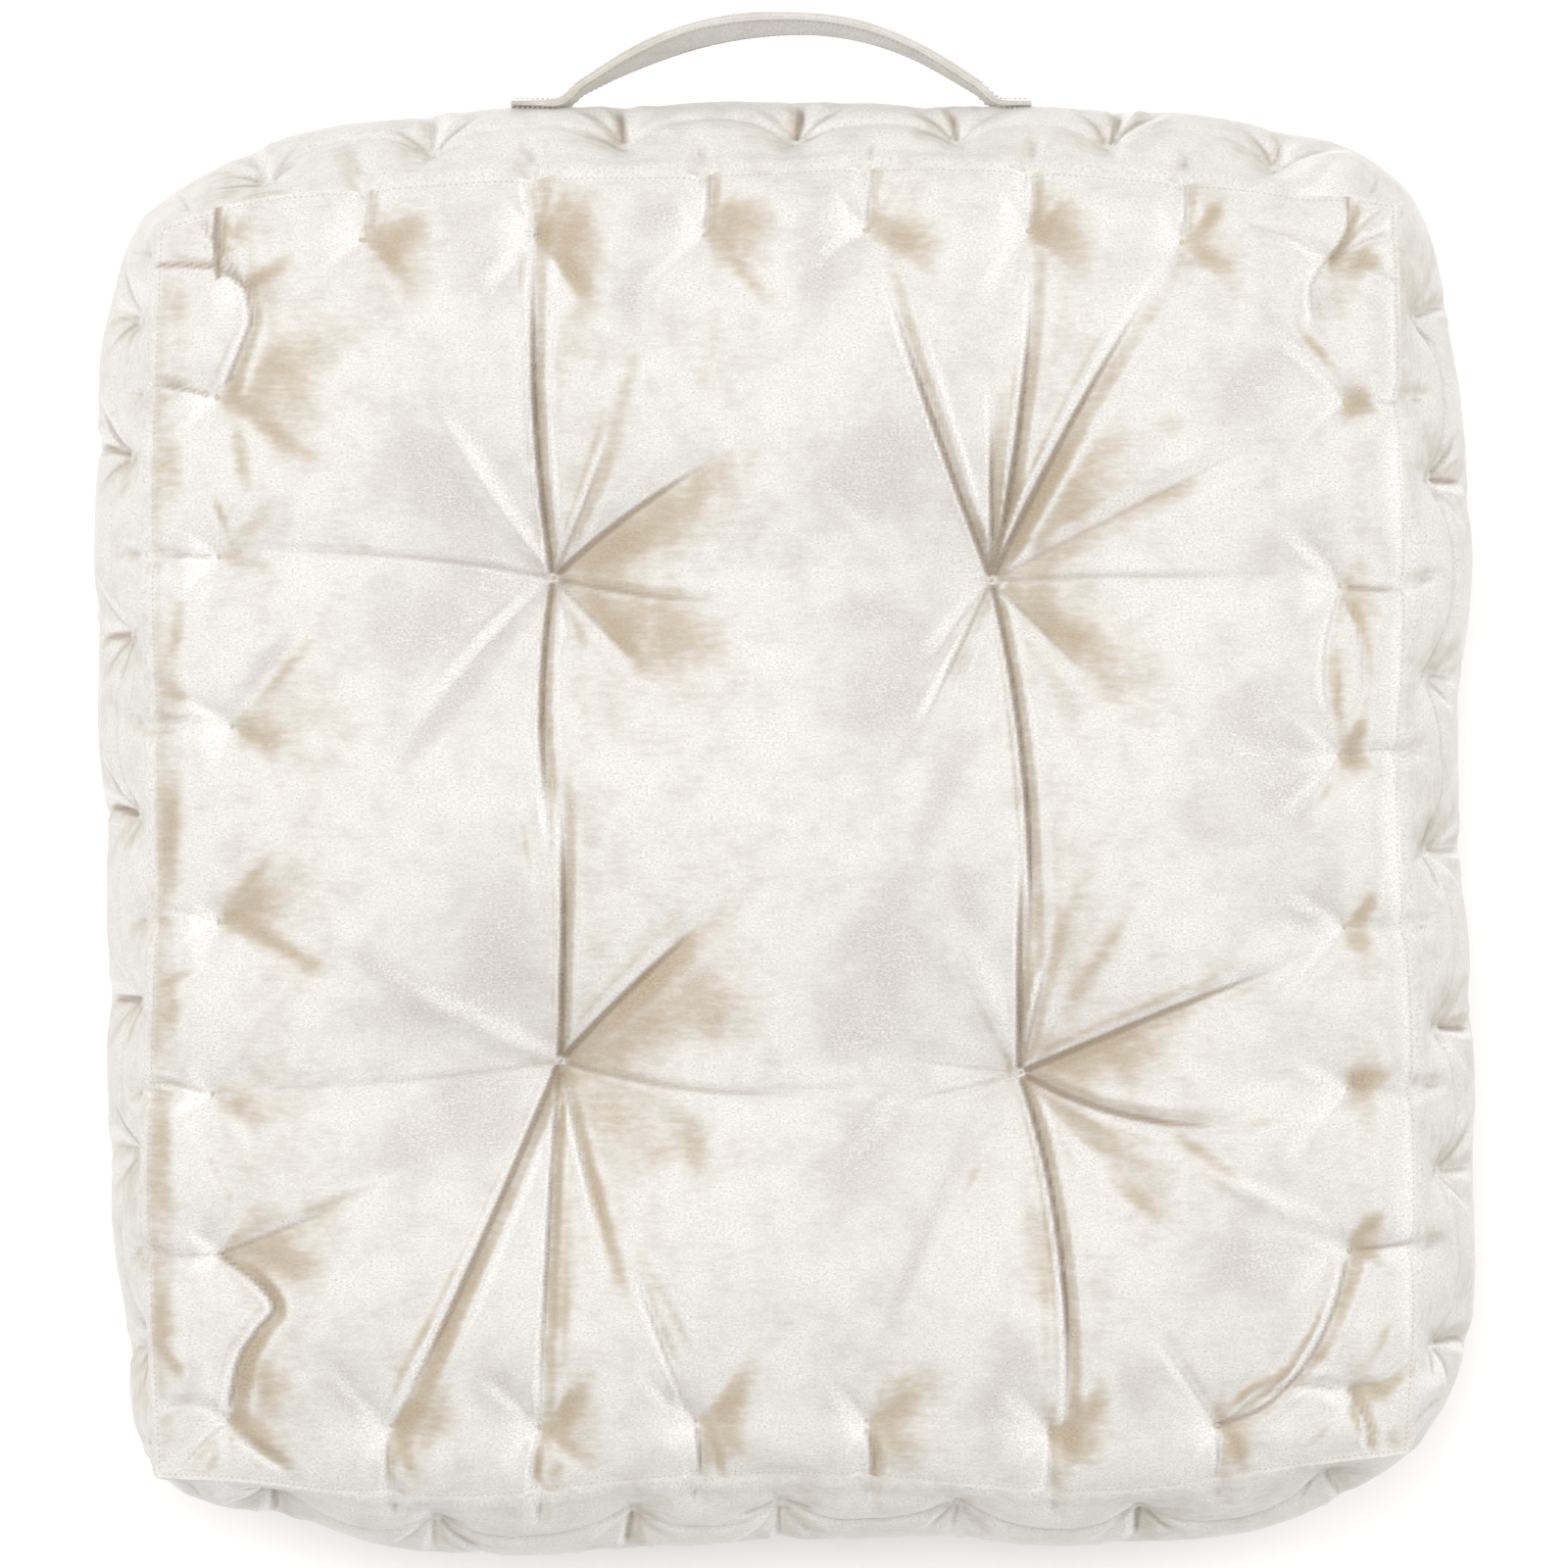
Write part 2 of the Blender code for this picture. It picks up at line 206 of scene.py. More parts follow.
# Patches where the pile of the top lies over, which also carry painted shade and painted light:
# middle x and y, length, width, heading, and lean in hundredths. A lean to +X, above 0, shows tan,
# painted shade, and one back shows cool, painted light.
BRUSHED_AND_SHADED = (
    (-143, 145, 85, 45, -53, -25), (-127, 239, 45, 25, 100, -20), (-214, 189, 45, 40, 0, 30),
    (-193, 208, 30, 25, 0, 15), (-214, 166, 50, 9, -32, 30), (-220, 235, 30, 8, 35, 35),
    (-233, 251, 25, 20, 0, 20), (-162, 251, 25, 18, 35, 35), (-164, 235, 35, 10, -57, 30),
    (-91, 254, 35, 30, 90, 35), (-91, 235, 30, 12, -50, 30), (-259, 154, 30, 12, 90, 30),
    (-257, 224, 25, 10, 90, 20), (-239, 133, 20, 4, -70, 40), (-230, 157, 30, 7, -80, 35),
    (-40, 140, 60, 16, 33, 20), (-19, 258, 30, 22, 0, 35), (-15, 234, 40, 9, -51, 40),
    (16, 239, 60, 25, 90, -22), (40, 154, 60, 55, 0, -25), (54, 250, 30, 20, -35, 35),
    (-52, 260, 25, 20, 0, -20), (-65, 226, 40, 14, 60, -20), (-71, 177, 60, 8, 68, 30),
    (-34, 192, 50, 10, 80, 15), (116, 255, 30, 25, 0, 35), (182, 260, 18, 8, 55, 40),
    (178, 240, 25, 12, 0, 25), (113, 137, 75, 34, 45, 38), (161, 170, 25, 14, 25, 30),
    (156, 140, 50, 8, 22, 25), (199, 189, 60, 35, 30, -20), (218, 117, 35, 18, 0, -20),
    (247, 179, 16, 12, 0, 35), (223, 206, 35, 7, -50, 35), (238, 251, 30, 6, 65, 40),
    (248, 241, 20, 12, 0, 35), (-59, 89, 60, 30, -20, 30), (-37, 75, 40, 20, 0, 15),
    (-66, 75, 35, 8, -50, 30), (35, 91, 35, 20, 0, -20), (47, 56, 70, 40, 55, -25),
    (43, -55, 60, 55, 90, -25), (78, -31, 35, 12, -70, -30), (66, 13, 70, 15, 65, -20),
    (-56, -62, 50, 16, 45, 35), (-25, -70, 40, 25, 0, 12), (122, 83, 60, 28, -25, 33),
    (137, 58, 25, 15, 0, 15), (205, 29, 75, 45, -60, -25), (218, -33, 45, 25, 0, -22),
    (178, 0, 40, 25, 0, -15), (242, 91, 18, 10, -60, 35), (243, 40, 15, 8, 60, 40),
    (242, 29, 12, 10, 0, 30), (235, 60, 30, 5, 90, 40), (228, 14, 18, 6, 60, 30),
    (248, -32, 22, 8, 55, 40), (243, -48, 12, 8, 0, 30), (116, -46, 60, 10, 65, 30),
    (134, -55, 50, 8, 58, 30), (162, -73, 80, 8, 25, 30), (-145, 85, 80, 38, 10, -25),
    (-139, 56, 77, 12, 53, -30), (-144, 33, 30, 6, 60, 20), (-112, 76, 20, 8, 60, 15),
    (-216, 40, 28, 16, 0, 30), (-210, 68, 40, 6, 48, 25), (-195, 50, 35, 12, 12, 12),
    (-220, 70, 50, 8, 50, -25), (-257, 85, 30, 8, 80, 30), (-256, 56, 16, 7, -30, 35),
    (-260, 2, 45, 8, 88, 30), (-254, -62, 25, 4, 25, 35), (-260, -77, 25, 10, 90, 30),
    (-226, -33, 25, 20, 20, 33), (-213, -50, 45, 8, -32, 40), (-226, -22, 25, 6, 48, 30),
    (-164, -64, 75, 14, -30, -30), (-121, -58, 45, 40, 90, -28), (-158, -79, 55, 20, 0, -25),
    (-121, -33, 30, 25, 90, -18), (-109, -8, 35, 4, -80, 30), (-153, -130, 75, 30, 45, -20),
    (-125, -129, 30, 30, 0, -20), (-229, -119, 35, 12, 0, 15), (-240, -147, 35, 4, -62, 25),
    (-194, -159, 70, 7, 22, 35), (-218, -181, 30, 22, -10, 30), (-201, -186, 25, 15, 0, 15),
    (-216, -197, 25, 8, -60, 40), (-224, -223, 40, 12, 65, 40), (-222, -237, 30, 22, 0, 30),
    (-222, -260, 50, 14, -40, 35), (-242, -268, 15, 6, 60, 30), (-263, -140, 55, 10, 90, 25),
    (-263, -209, 30, 10, 90, 30), (-258, -228, 18, 6, -50, 35), (-245, -172, 20, 10, 90, -20),
    (-252, -237, 18, 10, 90, -20), (-139, -199, 70, 10, 65, 30), (-149, -219, 35, 25, 65, 20),
    (-153, -248, 35, 28, 0, 35), (-169, -267, 20, 5, 88, 40), (-160, -267, 20, 6, -70, 35),
    (-182, -241, 45, 22, -55, -25), (-118, -241, 40, 25, -65, -25), (-90, -245, 25, 14, 45, 35),
    (-90, -263, 25, 8, -35, 35), (-105, -271, 18, 5, 85, 40), (-96, -272, 12, 6, 90, 30),
    (-94, -175, 130, 8, 90, 35), (-65, -85, 60, 25, 38, 35), (-28, -82, 35, 25, 0, 18),
    (-58, -130, 70, 35, -15, 20), (-75, -168, 90, 8, -73, 35), (-49, -202, 60, 6, -62, 30),
    (31, -88, 50, 25, -30, -25), (31, -137, 75, 30, 55, -25), (56, -181, 90, 8, 68, -25),
    (-45, -241, 30, 20, -60, -22), (21, -243, 25, 20, 0, -18), (89, -243, 40, 25, 90, -20),
    (-23, -243, 35, 14, 60, 33), (-23, -261, 22, 14, -50, 30), (-27, -270, 22, 6, -72, 40),
    (50, -242, 32, 22, 50, 33), (49, -263, 25, 18, 0, 25), (38, -268, 25, 5, 88, 35),
    (79, -150, 20, 6, 62, 30), (137, -96, 75, 25, 15, 35), (210, -124, 35, 5, 5, 30),
    (134, -129, 60, 30, -25, 20), (146, -155, 28, 8, -38, 40), (179, -139, 55, 6, -35, 35),
    (111, -202, 60, 7, 90, 25), (192, -188, 55, 45, 90, -20), (93, -216, 30, 20, 90, -20),
    (149, -237, 35, 25, 90, -20), (123, -261, 30, 18, -40, 35), (130, -245, 22, 20, 0, 30),
    (192, -264, 22, 7, -65, 40), (224, -213, 50, 7, 52, 40), (207, -234, 55, 6, 28, 35),
    (254, -238, 28, 10, 20, 35), (246, -254, 25, 7, -65, 45), (259, -259, 12, 12, 0, 40),
    (255, -215, 25, 6, 60, 35), (228, -257, 25, 5, 40, 30), (248, -169, 25, 8, 45, 40),
    (250, -181, 18, 8, 0, 25), (247, -106, 20, 10, 0, 30), (-64, 120, 62, 20, 20, 34),
)


def smooth_run(points, at):
    """Where a smooth curve through the points lies, at places along its first column."""
    places, values = (np.array(column, float) for column in zip(*points))
    slopes = np.gradient(values, places)
    i = np.clip(np.searchsorted(places, at) - 1, 0, len(places) - 2)
    width = places[i + 1] - places[i]
    t = (at - places[i]) / width
    ease = t * t * (3 - 2 * t)
    pull = t * (1 - t) ** 2 * slopes[i] - t * t * (1 - t) * slopes[i + 1]
    return values[i] + (values[i + 1] - values[i]) * ease + pull * width


def side_line(plan, side, share):
    """x and y along one side of a plan, at shares from 0 to 1 of its length, in metres."""
    points = plan[side]
    if side in ALONG_X:
        x = points[0][0] + (points[-1][0] - points[0][0]) * share
        return x * MM, smooth_run(points, x) * MM
    turned = [(y, x) for x, y in points]
    y = turned[0][0] + (turned[-1][0] - turned[0][0]) * share
    return smooth_run(turned, y) * MM, y * MM


def along(side, x, y):
    """The coordinate that runs along a side."""
    return x if side in ALONG_X else y


def outward(side):
    """x and y of the way out of the pillow through one side."""
    heading = math.radians(OUTWARD_HEADING[side])
    return math.cos(heading), math.sin(heading)


def bump(distance, reach):
    """1 at no distance, rounded at its top, and fading out past its reach."""
    return np.exp(-((distance / reach) ** 2))


def pucker(distance, reach):
    """1 at no distance, where it comes to a point, and fading out past its reach."""
    return np.exp(-distance / reach)


def ahead_and_beside(x, y, start, heading):
    """How far places lie ahead of a start on a heading, and how far to the left of it."""
    angle = math.radians(heading)
    dx, dy = x - start[0], y - start[1]
    ahead = dx * math.cos(angle) + dy * math.sin(angle)
    return ahead, dy * math.cos(angle) - dx * math.sin(angle)


def distances_along(line):
    """How far along a line of points each of them lies."""
    steps = np.linalg.norm(np.diff(line, axis=0), axis=1)
    return np.concatenate([[0], np.cumsum(steps)])


def ramp(value, low, high):
    """Rises smoothly from 0 at low to 1 at high."""
    t = np.clip((value - low) / (high - low), 0, 1)
    return t * t * (3 - 2 * t)


def lumps(points, size, seed):
    """Smooth noise from -1 to 1 over a grid of points, in lumps of about that size."""
    shift = Vector((seed * 17.3, seed * 5.1, seed * 9.7))
    flat = [noise.noise(Vector(p) / size + shift) for p in points.reshape(-1, 3)]
    return np.array(flat).reshape(points.shape[:-1])


SEAM_DIP, SEAM_DIP_REACH = 0.0024, 0.005  # what a rim tack's pleat draws the seam down
SEAM_DRAWN_IN = 0.6  # and in, as a share of that
SEAM_WAVE, SEAM_WAVE_RATE = 0.0012, 41
SEAM_ENDS = 0.03  # share of a side's length over which its seam settles into the corner


def top_seam(side, share):
    """The top seam's points on one side. Pleats from the rim tacks draw it down and in."""
    x, y = side_line(TOP_SEAM, side, share)
    place = along(side, x, y)
    ends = ramp(np.minimum(share, 1 - share), 0, SEAM_ENDS)
    tacks = [along(side, *tack) * MM for tack in RIM_TACKS[side]]
    dip = sum(SEAM_DIP * bump(place - tack, SEAM_DIP_REACH) for tack in tacks)
    wave = SEAM_WAVE * np.sin(place * SEAM_WAVE_RATE + len(side))
    out = outward(side)
    x = x - out[0] * SEAM_DRAWN_IN * dip * ends
    y = y - out[1] * SEAM_DRAWN_IN * dip * ends
    return np.stack([x, y, TOP_SEAM_Z + (wave - dip) * ends], -1)


GATHERED, GATHERED_REACH = 0.6, 0.045
TUFT_COLUMNS, TUFT_ROWS = (0.317, 0.68), (0.322, 0.708)  # as shares of the panel


def lines_of_cloth(count, middles):
    """Places from 0 to 1, closer together round the middles where the deepest folds run."""
    even = np.linspace(0, 1, 2001)
    density = 1 + sum(GATHERED * bump(even - middle, GATHERED_REACH) for middle in middles)
    walked = np.concatenate([[0], np.cumsum((density[1:] + density[:-1]) / 2)])
    return np.interp(np.linspace(0, walked[-1], count), walked, even)


# ------------------------------------------------------------------------------------------
# Pressing folds into cloth. A Relief adds up what stands out of a grid of cloth, over two flat
# coordinates of its own.

DEEP = 0.006  # a fold as deep as this gets the painted shade of its crease in full
CUSP = 0.0017  # how far the bottom of a groove is rounded
# how wide the painted shade along a crease is
CREASE_WIDTH = 0.0021
FOLD_REACH = 7  # how many of its widths a fold is felt to each side
FOLD_FADES = 0.45  # share of its length from which a fold runs out
FOLD_OPENS = 0.003  # length over which it opens where it starts
LIP_OPENS = 0.03  # and over which its lips rise
LIP_PLACE, LIP_WIDTH = 1.7, 0.7  # where its lips stand, and how wide, in its widths
AWAY_FROM_TUFT = 0.02
DEEPENS_AWAY, DEEPENS_AT_TUFT = 0.3, 0.01  # shares of its length in which it reaches its depth
FOLD_FULLNESS = 0.8  # below 1, a fold holds its depth for longer
FOLD_NARROW, FOLD_WIDENS = 0.6, 0.6  # its width at its start, and what it gains, in its widths
EASY_SIDE, STEEP_SIDE = 0.15, 0.35  # shares by which one side is wider and the other narrower
TUCK_STEPS = 30
TUCK_CLOSES = (-0.001, 0.008)  # how far before its end a tuck is gone, and is full
RAY_REACHES, RAY_DEPTHS, RAY_WIDTHS = (0.75, 1.3), (0.6, 1.3), (0.8, 1.2)  # of its own
RAY_BOWS, RAY_TURNS = (-0.08, 0.08), (-10, 10)  # as shares of its reach, and in degrees
SCALLOP_ENDS = 0.12  # share of its length over which a scallop fades at each end


class Relief:
    """What stands out of one grid of cloth, with the painted shade in its folds and the tacks that
    show on it.
    """

    def __init__(self, across, up):
        self.across, self.up = across, up
        self.groove = np.zeros_like(across)
        self.raised = np.zeros_like(across)
        self.dented = np.zeros_like(across)
        self.sunk = np.zeros_like(across)
        self.tacks = []
        # Painted shade along the bottom of each crease.
        self.crease = np.zeros_like(across)

    def fold(self, start, heading, near, far, bow, width, depth, lip):
        """One groove or ridge. A groove is steeper on the side away from +X."""
        ahead, beside = ahead_and_beside(self.across, self.up, start, heading)
        share = (ahead - near) / (far - near)
        reached = (share > 0) & (share < 1)
        reached &= np.abs(beside) < FOLD_REACH * width + abs(bow)
        s = share[reached]
        d = beside[reached] - bow * 4 * s * (1 - s)
        opening = DEEPENS_AWAY if near > AWAY_FROM_TUFT else DEEPENS_AT_TUFT
        strength = ramp(s, 0, opening) * (1 - ramp(s, FOLD_FADES, 1.0))
        begun, angle = ahead[reached] - near, math.radians(heading)
        self.press(reached, s, begun, strength, d, angle, width, depth, lip)

    def tuck(self, points, width, depth, lip):
        """A groove along a smooth curve through points."""
        corners = np.array(points)
        knots = np.arange(len(corners))
        at = np.linspace(0, knots[-1], TUCK_STEPS * knots[-1] + 1)
        line = np.stack([smooth_run(list(zip(knots, column)), at) for column in corners.T], -1)
        reach = FOLD_REACH * width
        low, high = line.min(axis=0) - reach, line.max(axis=0) + reach
        reached = (self.across > low[0]) & (self.across < high[0])
        reached &= (self.up > low[1]) & (self.up < high[1])
        place = np.stack([self.across[reached], self.up[reached]], -1)
        away = place[:, None] - line[None]
        nearest = np.argmin(np.sum(away**2, axis=-1), axis=1)
        run = np.gradient(line, axis=0)[nearest]
        away = away[np.arange(len(place)), nearest]
        beside = (run[:, 0] * away[:, 1] - run[:, 1] * away[:, 0]) / np.linalg.norm(run, axis=1)
        ahead = np.sum(run * away, axis=1) / np.linalg.norm(run, axis=1)
        distances = distances_along(line)
        walked, length = distances[nearest] + ahead, distances[-1]
        strength = 1 - ramp(np.maximum(-walked, walked - length), 0, FOLD_OPENS)
        strength *= ramp(length - walked, *TUCK_CLOSES)
        s = np.clip(walked / length, 0, 1)
        angle = np.arctan2(run[:, 1], run[:, 0])
        begun = walked + FOLD_OPENS
        self.press(reached, s, begun, strength, beside, angle, width, depth, lip)

    def press(self, reached, s, begun, strength, d, angle, width, depth, lip):
        """Presses in what one fold does, d from its line and s along it from 0 to 1."""
        strength = ramp(begun, 0, FOLD_OPENS) * strength**FOLD_FULLNESS
        lean = -np.sin(angle) * np.sign(d)
        skew = 1 + np.where(lean > 0, EASY_SIDE, STEEP_SIDE) * lean
        w = width * (FOLD_NARROW + FOLD_WIDENS * s) * skew
        d = np.abs(d)
        if depth < 0:
            self.raised[reached] -= depth * strength * bump(d, w)
            return
        groove = depth * strength * pucker(np.hypot(d, CUSP), w)
        self.groove[reached] = np.maximum(self.groove[reached], groove)
        lips = lip * ramp(begun, 0, LIP_OPENS) * strength
        self.raised[reached] += lips * bump(d - LIP_PLACE * w, LIP_WIDTH * w)
        # Painted shade along the bottom of the groove, full where the fold is as deep as DEEP.
        line = strength * min(depth / DEEP, 1) * bump(d, CREASE_WIDTH)
        self.crease[reached] = np.maximum(self.crease[reached], line)

    def rays(self, start, outward_heading, rays, rng):
        """The short folds that fan out of one tack."""
        for ray in rays:
            reach = ray.reach * rng.uniform(*RAY_REACHES)
            depth = ray.depth * rng.uniform(*RAY_DEPTHS)
            bow = rng.uniform(*RAY_BOWS) * reach
            width = ray.width * rng.uniform(*RAY_WIDTHS)
            sizes = (RAY_START, reach, bow, width, depth, RAY_LIP * depth)
            heading = outward_heading + ray.turn + rng.uniform(*RAY_TURNS)
            self.fold(start, heading, *(v * MM for v in sizes))

    def scallop(self, start, stop, level, sag, depth, width):
        """A groove that hangs between two tacks of a row."""
        t = (self.across - start) / (stop - start)
        off = np.abs(self.up - level - sag * 4 * t * (1 - t))
        strength = ramp(t, 0, SCALLOP_ENDS) * (1 - ramp(t, 1 - SCALLOP_ENDS, 1))
        self.groove = np.maximum(self.groove, depth * strength * pucker(off, width))

    def dent(self, place, depth, reach):
        """The hollow that a tack pulls."""
        distance = np.hypot(self.across - place[0], self.up - place[1])
        self.dented += depth * pucker(distance, reach)

    def total(self):
        """How far the cloth stands out, all told."""
        return self.raised - self.groove - self.dented - self.sunk


def in_metres(*sizes):
    """A list of sizes that were in millimetres."""
    return [size * MM for size in sizes]


# ------------------------------------------------------------------------------------------
# The forms of the cover's three panels, each over a grid of rows and columns.

TOP_SEED, BAND_SEED = 11, 5
# Two distances from a seam each: where what is pressed into the cloth is gone, and is full.
TOP_FADE, BAND_FADE = (-0.0002, 0.007), (-0.0001, 0.005)

CROWN = 0.017
SHOULDER = 0.070
RIM_PUFF = 0.003
RIM_ROLL, RIM_ROLL_REACH = 0.013, 0.012  # where the puffed rim rolls, in from the seam
SEAM_FADE = 0.006
SEAM_SPREAD = 0.010  # how far the seam's dips and waves reach into the top
SEAM_DROP_REACH = 0.008  # and down the band
BAND_END = 0.012  # share of a side's length over which its folds fade into the corner
TUFT_DEPTH, TUFT_REACH = 0.034, 0.034
# Broad valleys along the lines of tufts: the axis that they cross, where, and how deep.
TROUGHS = ((0, (-98, 95), 0.003), (1, (-103, 107), 0.002))
TROUGH_REACH = 0.026
TACK_DENTS = ((0.0065, 0.006), (0.0035, 0.018))  # depth and reach, at each rim tack
SIDE_DENTS = ((0.008, 0.008), (0.005, 0.020))

PANEL_WIDTH, PANEL_DEPTH = 0.534, 0.545
CORNER_BLEND = 0.020
SIDE_ROUNDNESS = 0.7
TACK_ROW = 0.016  # how far each row of side tacks lies from its seam
UNDER_SHOULDER = 0.060
UNDER_TUFT_DEPTH, UNDER_TUFT_REACH = 0.030, 0.020
FLOOR_REST = 0.001
BAND_CREASE = 0.4  # how much painted crease shade each groove of the band gets, besides the painted line along its bottom
CORNER_EASED, CORNER_REACH = 0.012, 0.030  # how far, and how near, the corners are eased
CORNER_LEVELS = 0.2  # share of the band's height in which the easing fades to each seam


def panel_plan(us, vs):
    """A grid of points inside the four top seams."""
    front, back = top_seam("front", us), top_seam("back", us)
    left, right = top_seam("left", vs), top_seam("right", vs)
    u, v = us[None, :, None], vs[:, None, None]
    plan = (1 - v) * front[None] + v * back[None]
    plan = plan + (1 - u) * (left[:, None] - (1 - v) * front[0] - v * back[0])
    return plan + u * (right[:, None] - (1 - v) * front[-1] - v * back[-1])


def edge_distance(us, vs):
    """How far each point lies in from the nearest seam, eased off at the corners."""
    across = np.minimum(us, 1 - us)[None, :] * PANEL_WIDTH
    down = np.minimum(vs, 1 - vs)[:, None] * PANEL_DEPTH
    nearest = np.minimum(across, down)
    loss = CORNER_BLEND * np.log1p(np.exp(-np.abs(across - down) / CORNER_BLEND))
    return nearest - loss * np.minimum(1, nearest / CORNER_BLEND)


def crown_climb(edge):
    """From 0 at the seam to 1 where the crown has risen."""
    return 1 - (1 - np.clip(edge / SHOULDER, 0, 1)) ** 2


def press_top(x, y):
    """The folds, dents and tufts of the top, over places in its plan."""
    relief = Relief(x, y)
    rng = np.random.default_rng(TOP_SEED)
    for start, folds in FOLDS.items():
        for heading, *sizes in folds:
            relief.fold(in_metres(*TUFTS.get(start, start)), heading, *in_metres(*sizes))
    for tuck in TUCKS:
        line = [in_metres(*point) for point in tuck.points]
        relief.tuck(line, *in_metres(tuck.width, tuck.depth, tuck.lip))
    tacks = [(tack, OUTWARD_HEADING[side]) for side in SIDES for tack in RIM_TACKS[side]]
    tacks += zip(CORNER_TACKS, CORNER_HEADINGS)
    for tack, heading in tacks:
        place = in_metres(*tack)
        for dent in TACK_DENTS:
            relief.dent(place, *dent)
        relief.rays(place, heading, RIM_RAYS, rng)
    for tuft_x, tuft_y in (in_metres(*tuft) for tuft in TUFTS.values()):
        relief.sunk += TUFT_DEPTH * pucker(np.hypot(x - tuft_x, y - tuft_y), TUFT_REACH)
    return relief


PATCH_FADE = 0.9  # share of a patch's size over which it fades


def brushed_and_shaded(x, y):
    """How far the pile of the top lies over, with the painted shade and light that the patches
    carry, added up from them.
    """
    lean = np.zeros_like(x)
    for patch in BRUSHED_AND_SHADED:
        *middle, length, width = in_metres(*patch[:4])
        ahead, beside = ahead_and_beside(x, y, middle, patch[4])
        away = np.hypot(2 * ahead / length, 2 * beside / width)
        lean += patch[5] / 100 * bump(away, PATCH_FADE)
    return lean


def top_form(us, vs):
    """The top panel's points and its relief, at shares from 0 to 1 across and up it."""
    points = panel_plan(us, vs)
    x, y, seam_z = points[..., 0], points[..., 1], points[..., 2].copy()
    edge = edge_distance(us, vs)
    relief = press_top(x, y)
    climb = crown_climb(edge)
    z = TOP_SEAM_Z + CROWN * climb
    z += RIM_PUFF * bump(edge - RIM_ROLL, RIM_ROLL_REACH) * ramp(edge, 0, SEAM_FADE)
    for axis, middles, depth in TROUGHS:
        place = (x, y)[axis]
        for middle in middles:
            z -= depth * bump(place - middle * MM, TROUGH_REACH) * climb
    z += relief.total() * ramp(edge, *TOP_FADE)
    z += (seam_z - TOP_SEAM_Z) * pucker(edge, SEAM_SPREAD)
    points[..., 2] = z
    return points, relief


def band_form(counts, levels):
    """The band's grid, for so many columns along each side, and levels from its lower seam, 0,
    to its upper seam, 1."""
    grids, creases, lifts, tacks = [], [], [], []
    for side, shares in zip(SIDES, counts):
        x, y, z = top_seam(side, shares).T
        waist_x, waist_y = side_line(WAIST, side, shares)
        h = levels[:, None]
        swell = np.sin(np.pi * h) ** SIDE_ROUNDNESS
        drop = (TOP_SEAM_Z - z) * pucker((1 - h) * BAND_HEIGHT, SEAM_DROP_REACH)
        rise = BASE_SEAM_Z + BAND_HEIGHT * h - drop
        grid = np.stack([x + (waist_x - x) * swell, y + (waist_y - y) * swell, rise], -1)
        relief = press_band(side, along(side, x, y) + 0 * h, (h - 1) * BAND_HEIGHT + 0 * x)
        edge = np.minimum(h, 1 - h) * BAND_HEIGHT
        fade = ramp(edge, *BAND_FADE) * ramp(np.minimum(shares, 1 - shares), 0, BAND_END)
        lift = relief.total() * fade
        # Painted shade along the band's creases, and more where its grooves are deeper.
        crease = relief.crease * fade + BAND_CREASE * relief.groove / DEEP
        tack = np.zeros_like(crease)
        for place, level in relief.tacks:
            away = np.hypot(relief.across - place, relief.up - level)
            tack[np.unravel_index(np.argmin(away), away.shape)] = 1
        if side in WALKED_BACKWARDS:
            grid, lift, crease, tack = (part[:, ::-1] for part in (grid, lift, crease, tack))
        last = -1 if side != SIDES[-1] else None
        grids.append(grid[:, :last])
        lifts.append(lift[:, :last])
        creases.append(crease[:, :last])
        tacks.append(tack[:, :last])
    points = round_corners(np.concatenate(grids, axis=1), counts, levels)
    points += band_normals(points) * np.concatenate(lifts, axis=1)[..., None]
    points[..., 2] = np.maximum(points[..., 2], FLOOR_REST)
    return points, np.concatenate(creases, axis=1), np.concatenate(tacks, axis=1)


def round_corners(points, counts, levels):
    """Eases a closed band round its four upright corners, and leaves its seams alone."""
    loop = points[:, :-1]
    spacing = 4 * PANEL_WIDTH / loop.shape[1]
    corners = np.cumsum([0, *(len(shares) - 1 for shares in counts[:-1])])
    steps = np.abs(np.arange(loop.shape[1])[:, None] - corners)
    away = np.minimum(steps, loop.shape[1] - steps).min(axis=1) * spacing
    inside = ramp(np.minimum(levels, 1 - levels), 0, CORNER_LEVELS)[:, None]
    share = inside * bump(away, CORNER_REACH)
    for _ in range(round((CORNER_EASED / spacing) ** 2)):
        even = (np.roll(loop, 1, axis=1) + np.roll(loop, -1, axis=1)) / 2
        loop = loop + share[..., None] * (even - loop)
    return np.concatenate([loop, loop[:, :1]], axis=1)


CORNER_PLEATS = ((0.012, 0.055, 0.0026), (0.033, 0.030, 0.0018))  # offset, length, depth
PLEAT_START = -0.004  # pleats of the band start this far behind its seams
PLEAT_PLACES, PLEAT_LENGTHS, PLEAT_LEAN = (0.6, 1.4), (0.7, 1.2), 28
PLEAT_BOW, PLEAT_WIDTH, PLEAT_LIP = 0.1, 0.0055, 0.0006
RIM_PLEAT_LENGTHS, RIM_PLEAT_LEAN = (0.010, 0.018), 12
RIM_PLEAT = (0, 0.003, 0.003, 0.001)  # bow, width, depth and lip
TACK_JITTER = 0.007  # of the lower row, along its side
SCALLOP_SAGS, SCALLOP_DEPTHS, SCALLOP_WIDTH = (0.003, 0.007), (0.002, 0.004), 0.003


